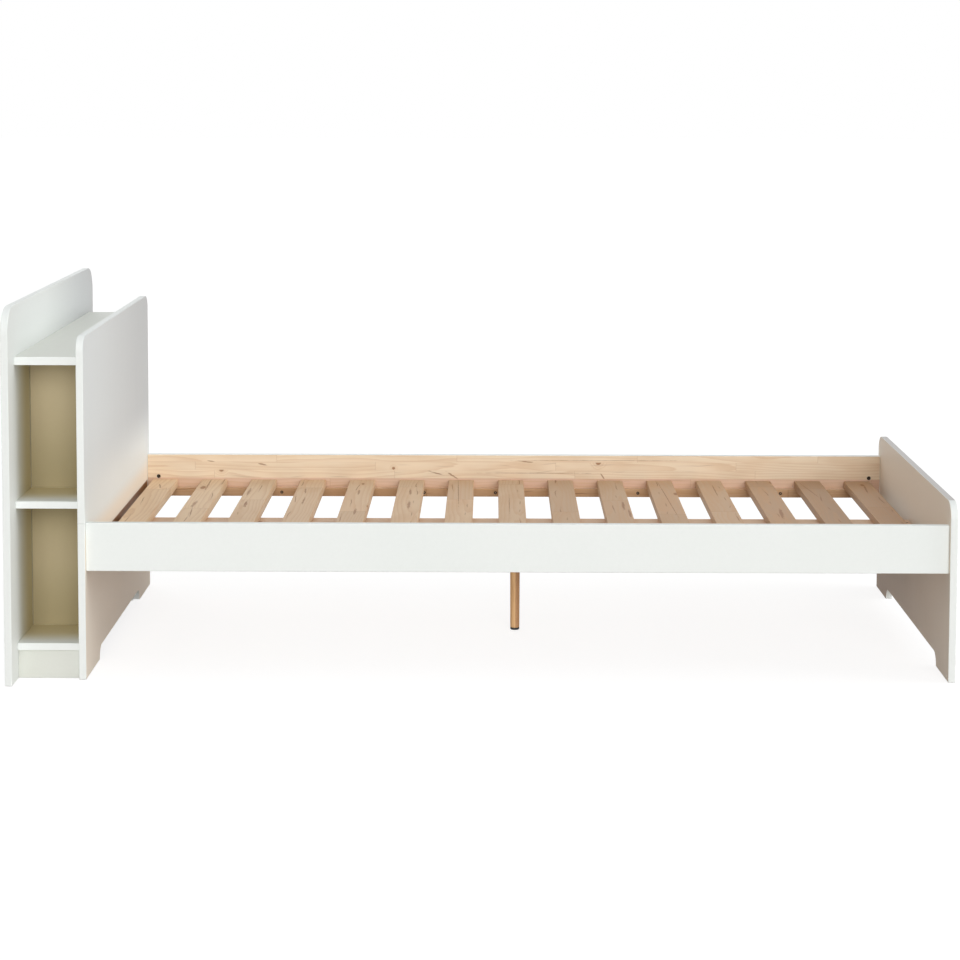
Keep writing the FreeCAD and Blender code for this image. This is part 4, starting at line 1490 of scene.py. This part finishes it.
@dataclass
class Fittings:
    """Bolts, nuts, screws, cams and dowels, each in its solid's place.

    Each row of a profile is a radius and a place along the axis.  The first
    two rows of a piece with a recess are the recess's bottom and mouth, and
    follow the recess's outline whatever their radius.
    """

    sink: float = 1.2 * MM
    screw_sink: float = 0.6 * MM
    # The barrel nuts and batten screws sit in holes; their steel is painted dark for the shade there.
    in_shaded_holes: tuple[str, ...] = ("barrel_nuts", "wood_screws")

    @staticmethod
    def wood_dowels() -> Shell:
        """Fluted dowels with chamfered ends."""
        return gather("wood_dowels", lambda radius, length: Turned(
            [(radius - MM, 0.0), (radius, MM), (radius, length - MM), (radius - MM, length)],
            flutes=18, flute_depth=0.4 * MM, sides=108))

    @staticmethod
    def cam_bolts() -> Shell:
        """Cam bolts: a thread in the panel, a collar, a shank, and the ball end in the disc.

        Returns:
            The surface.
        """
        between = (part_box("back_panel")[1][0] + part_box("front_panel")[0][0]) / 2
        neck, collar = 1.6 * MM, 11 * MM

        def bolt(radius: float, length: float) -> Turned:
            """One cam bolt."""
            shank = 0.75 * radius
            profile = [(1.2 * MM, 0.0), (radius, 2 * MM), (radius, collar - 2 * MM), (radius, collar),
                       (shank, collar + MM), (shank, length - 6 * MM), (neck, length - 5 * MM),
                       (neck, length - 3 * MM), (0.8 * radius, length - 1.6 * MM), (0.5 * radius, length)]
            return Turned(profile, thread_from=MM, thread_to=collar - 2 * MM, thread_pitch=2 * MM,
                          thread_depth=0.7 * MM, sides=32)

        return gather("cam_bolts", bolt, up=lambda axis, middle: middle[0] < between)

    @staticmethod
    def leg_hanger_bolt() -> Shell:
        """The leg's hanger bolt: a coarse thread in the leg and a fine one in the insert.

        Returns:
            The surface.
        """
        low, high = solids_of("leg_hanger_bolt")[0]
        length, radius, middle = high[2] - low[2], (high - low)[0] / 2, (low + high) / 2
        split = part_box("centre_leg")[1][2] - low[2]
        lower = Turned([(MM, 0.0), (radius, 3 * MM), (radius, split - 4 * MM), (radius, split)],
                       thread_from=2 * MM, thread_to=split - 5 * MM, thread_pitch=3 * MM, thread_depth=MM)
        upper = Turned([(radius, 0.0), (radius, length - split - MM), (radius - MM, length - split)],
                       thread_from=0.5 * MM, thread_to=length - split - MM, thread_pitch=1.25 * MM,
                       thread_depth=0.6 * MM)
        return join_shells([part.shell((middle[0], middle[1], low[2] + rise), Axis.Z, 1)
                            for part, rise in ((lower, 0.0), (upper, split))])

    @staticmethod
    def leg_insert_nut() -> Shell:
        """The threaded sleeve in the beam: a coarse outer thread round a bore.

        Returns:
            The surface.
        """
        low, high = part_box("leg_hanger_bolt")
        bore = (high - low)[0] / 2 + 0.2 * MM

        def sleeve(radius: float, length: float) -> Turned:
            """The sleeve, its thread a zigzag between two radii."""
            ridges = np.linspace(0.5 * MM, length - 0.5 * MM, 21)
            outer = [(radius - MM * (step % 2), place) for step, place in enumerate(ridges)]
            return Turned([(bore, 0.0), (radius - MM, 0.0), *outer, (radius - MM, length), (bore, length)],
                          hollow=True)

        return gather("leg_insert_nut", sleeve)

    @staticmethod
    def bed_bolts() -> Shell:
        """Button heads with a hexagon socket, outside the panels."""
        head, key, shank = 7.5 * MM, 2.3 * MM, 3.0 * MM
        return gather("bed_bolts", lambda radius, length: Turned(
            [(key, 3.5 * MM), (key, 0.25 * MM), (key + 0.25 * MM, 0.0), (0.62 * head, 0.12 * MM),
             (0.84 * head, 0.6 * MM), (0.96 * head, 1.3 * MM), (head, 2.1 * MM), (head, 2.5 * MM),
             (shank, 2.5 * MM), (shank, 26 * MM), (shank, length - MM), (shank - MM, length)],
            Recess.HEXAGON, 2, key), up=lambda axis, middle: middle[0] < 0)

    def barrel_nuts(self) -> Shell:
        """Round nuts across the bolts, with a slot for the driver."""
        return gather("barrel_nuts", lambda radius, length: Turned(
            [(radius, 1.4 * MM), (radius, 0.15 * MM), (0.9 * radius, 0.0), (radius, 0.5 * MM),
             (radius, length - 0.5 * MM), (radius - 0.5 * MM, length)],
            Recess.BLADE, 2, 0.8 * radius), self.sink, up=lambda axis, middle: middle[1] > 0)

    def wood_screws(self) -> Shell:
        """Countersunk screws with a cross recess; the head end is found by its side."""
        head, shank = 4.0 * MM, 2.0 * MM
        return gather("wood_screws", lambda radius, length: Turned(
            [(head, 1.8 * MM), (head, 0.1 * MM), (0.97 * head, 0.0), (head, 0.3 * MM), (shank, 2.5 * MM),
             (shank, 6 * MM), (shank, length - 4 * MM), (0.3 * MM, length)],
            Recess.CROSS, 2, 0.5 * head, 7 * MM, length - 4.5 * MM, 1.6 * MM, 0.6 * MM, sides=32),
            self.screw_sink, up=lambda axis, middle: axis is not Axis.Z and middle[axis.value] >= 0)

    def cam_discs(self) -> Shell:
        """Cam discs with a cross recess, their mouths in the boards' hidden faces."""
        return gather("cam_discs", lambda radius, length: Turned(
            [(radius, 3 * MM), (radius, 0.2 * MM), (0.93 * radius, 0.0), (radius, 0.5 * MM),
             (radius, 1.6 * MM), (0.94 * radius, 2.0 * MM), (0.94 * radius, length - 0.6 * MM),
             (0.85 * radius, length)],
            Recess.CROSS, 2, 0.45 * radius), self.screw_sink, longest=False,
            up=lambda axis, middle: axis is not Axis.Y or middle[1] > 0)

    def build(self) -> list[bpy.types.Object]:
        """Makes the fittings of every kind.

        Returns:
            The objects.
        """
        bright = Zinc().material()
        # Painted shade: dark steel for the fittings deep in their holes.
        dark = Zinc("dark steel", tint(74, 66, 58), tint(40, 35, 31)).material()
        made = []
        for maker in (self.bed_bolts, self.barrel_nuts, self.wood_screws, self.cam_bolts, self.cam_discs,
                      self.leg_hanger_bolt, self.leg_insert_nut):
            node = maker.__name__
            finish = dark if node in self.in_shaded_holes else bright
            made.append(make_piece(f"{node}_zinc", maker(), [finish], [node]))
        made.append(make_piece("wood_dowels_beech", self.wood_dowels(), [DowelWood().material()],
                               ["wood_dowels"]))
        return made


# --------------------------------------------------------------------------
# The studio
# --------------------------------------------------------------------------


@dataclass
class Camera:
    """The photograph's viewpoint."""

    place: Point = (0.01805, -5.5679, 1.3509)
    yaw: float = -0.0052
    pitch: float = 0.0793
    roll: float = -0.0021
    lens: float = 87.53
    sensor: float = 36.0
    shift_y: float = -0.234
    clip: Range = (0.05, 200.0)

    def build(self) -> bpy.types.Object:
        """Makes the camera from its yaw, its pitch down and its roll.

        Returns:
            The camera object.
        """
        ahead = np.array([math.sin(self.yaw) * math.cos(self.pitch),
                          math.cos(self.yaw) * math.cos(self.pitch), -math.sin(self.pitch)])
        level = np.array([math.cos(self.yaw), -math.sin(self.yaw), 0.0])
        down = np.cross(ahead, level)
        right = math.cos(self.roll) * level + math.sin(self.roll) * down
        below = -math.sin(self.roll) * level + math.cos(self.roll) * down
        data = bpy.data.cameras.new("photo camera")
        data.lens, data.sensor_width, data.shift_y = self.lens, self.sensor, self.shift_y
        data.clip_start, data.clip_end = self.clip
        made = put("photo camera", data, (right, -below, -ahead), self.place)
        bpy.context.scene.camera = made
        return made


@dataclass
class Studio:
    """A pale floor, an even white surround and soft lamps."""

    surround: float = 0.45
    lamps: tuple[tuple[float, Point], ...] = ((2.0, (-0.12, 0.98, -0.17)), (1.16, (-0.93, 0.15, -0.33)),
                                              (0.55, (0.42, -0.78, -0.46)))
    spread: float = 34.0
    lamp_colour: Colour = (0.965, 0.985, 1.0)
    floor_low: Colour = (0.49, 0.43, 0.38)
    floor_high: Colour = (0.51, 0.45, 0.40)
    floor_seen: Colour = (0.30, 0.30, 0.30)
    floor_half: float = 40.0
    floor_lift: float = 0.83
    floor_drop: float = 1.0 * MM

    def lamp(self, name: str, power: float, toward: Point) -> None:
        """Adds one broad sun.

        Args:
            name: the lamp's name.
            power: its strength.
            toward: the direction that its light goes.
        """
        data = bpy.data.lights.new(name, "SUN")
        data.energy, data.angle = power, math.radians(self.spread)
        data.color = self.lamp_colour
        ahead = np.array(toward) / np.linalg.norm(toward)
        side = np.cross(ahead, (0.0, 0.0, 1.0))
        side /= np.linalg.norm(side)
        put(name, data, (side, np.cross(side, ahead), -ahead))

    def seen(self, sketch: Sketch) -> Wire:
        """1 for the rays that see the background, straight or in a mirror."""
        path = sketch.node("ShaderNodeLightPath", {}, {}, "Is Camera Ray")
        return path.most(path.other("Is Glossy Ray").most(path.other("Is Transmission Ray")))

    def world(self) -> None:
        """White for what looks at it, and an even lower light for the object."""
        world = bpy.data.worlds.new("surround")
        bpy.context.scene.world = world
        sketch = Sketch(world)
        light = sketch.node("ShaderNodeBackground", {}, {0: WHITE, 1: self.surround})
        white = sketch.node("ShaderNodeBackground", {}, {0: WHITE, 1: 1.0})
        shares = {0: self.seen(sketch), 1: light, 2: white}
        sketch.output(sketch.node("ShaderNodeMixShader", {}, shares), "World")

    def floor(self) -> bpy.types.Object:
        """A pale floor that looks white and keeps the object's shadow.

        Returns:
            The floor object.
        """
        reach, level = self.floor_half, -self.floor_drop
        mesh = bpy.data.meshes.new("floor")
        corners = [(x * reach, y * reach, level) for x, y in ((-1, -1), (1, -1), (1, 1), (-1, 1))]
        mesh.from_pydata(corners, [], [(0, 1, 2, 3)])
        paper, sketch = new_material("floor paper")
        grain = sketch.noise(sketch.place(), 40.0, 2.0)
        pale = sketch.blend(grain, self.floor_low, self.floor_high)
        pale = sketch.blend(self.seen(sketch), pale, self.floor_seen)
        matt = sketch.node("ShaderNodeBsdfDiffuse", {}, {"Color": pale})
        strength = self.seen(sketch) * self.floor_lift
        glow = sketch.node("ShaderNodeEmission", {}, {"Color": WHITE, "Strength": strength})
        sketch.output(sketch.node("ShaderNodeAddShader", {}, {0: matt, 1: glow}))
        mesh.materials.append(paper)
        made = put("floor", mesh)
        return made

    def build(self) -> None:
        """Sets up the light, the floor and the view transform."""
        self.world()
        for index, (power, toward) in enumerate(self.lamps, start=1):
            self.lamp(f"lamp {index}", power, toward)
        self.floor()
        bpy.context.scene.view_settings.view_transform = "Standard"


def main() -> None:
    """Builds the studio and the bed, in order."""
    logging.basicConfig(level=logging.INFO, format="%(message)s")
    Camera().build()
    Studio().build()
    for assembly in (Headboard(), Footboard(), Rails(), SlatBase(), CentreLeg(), Fittings()):
        report(type(assembly).__name__, assembly.build())


if __name__ == "__main__":
    main()
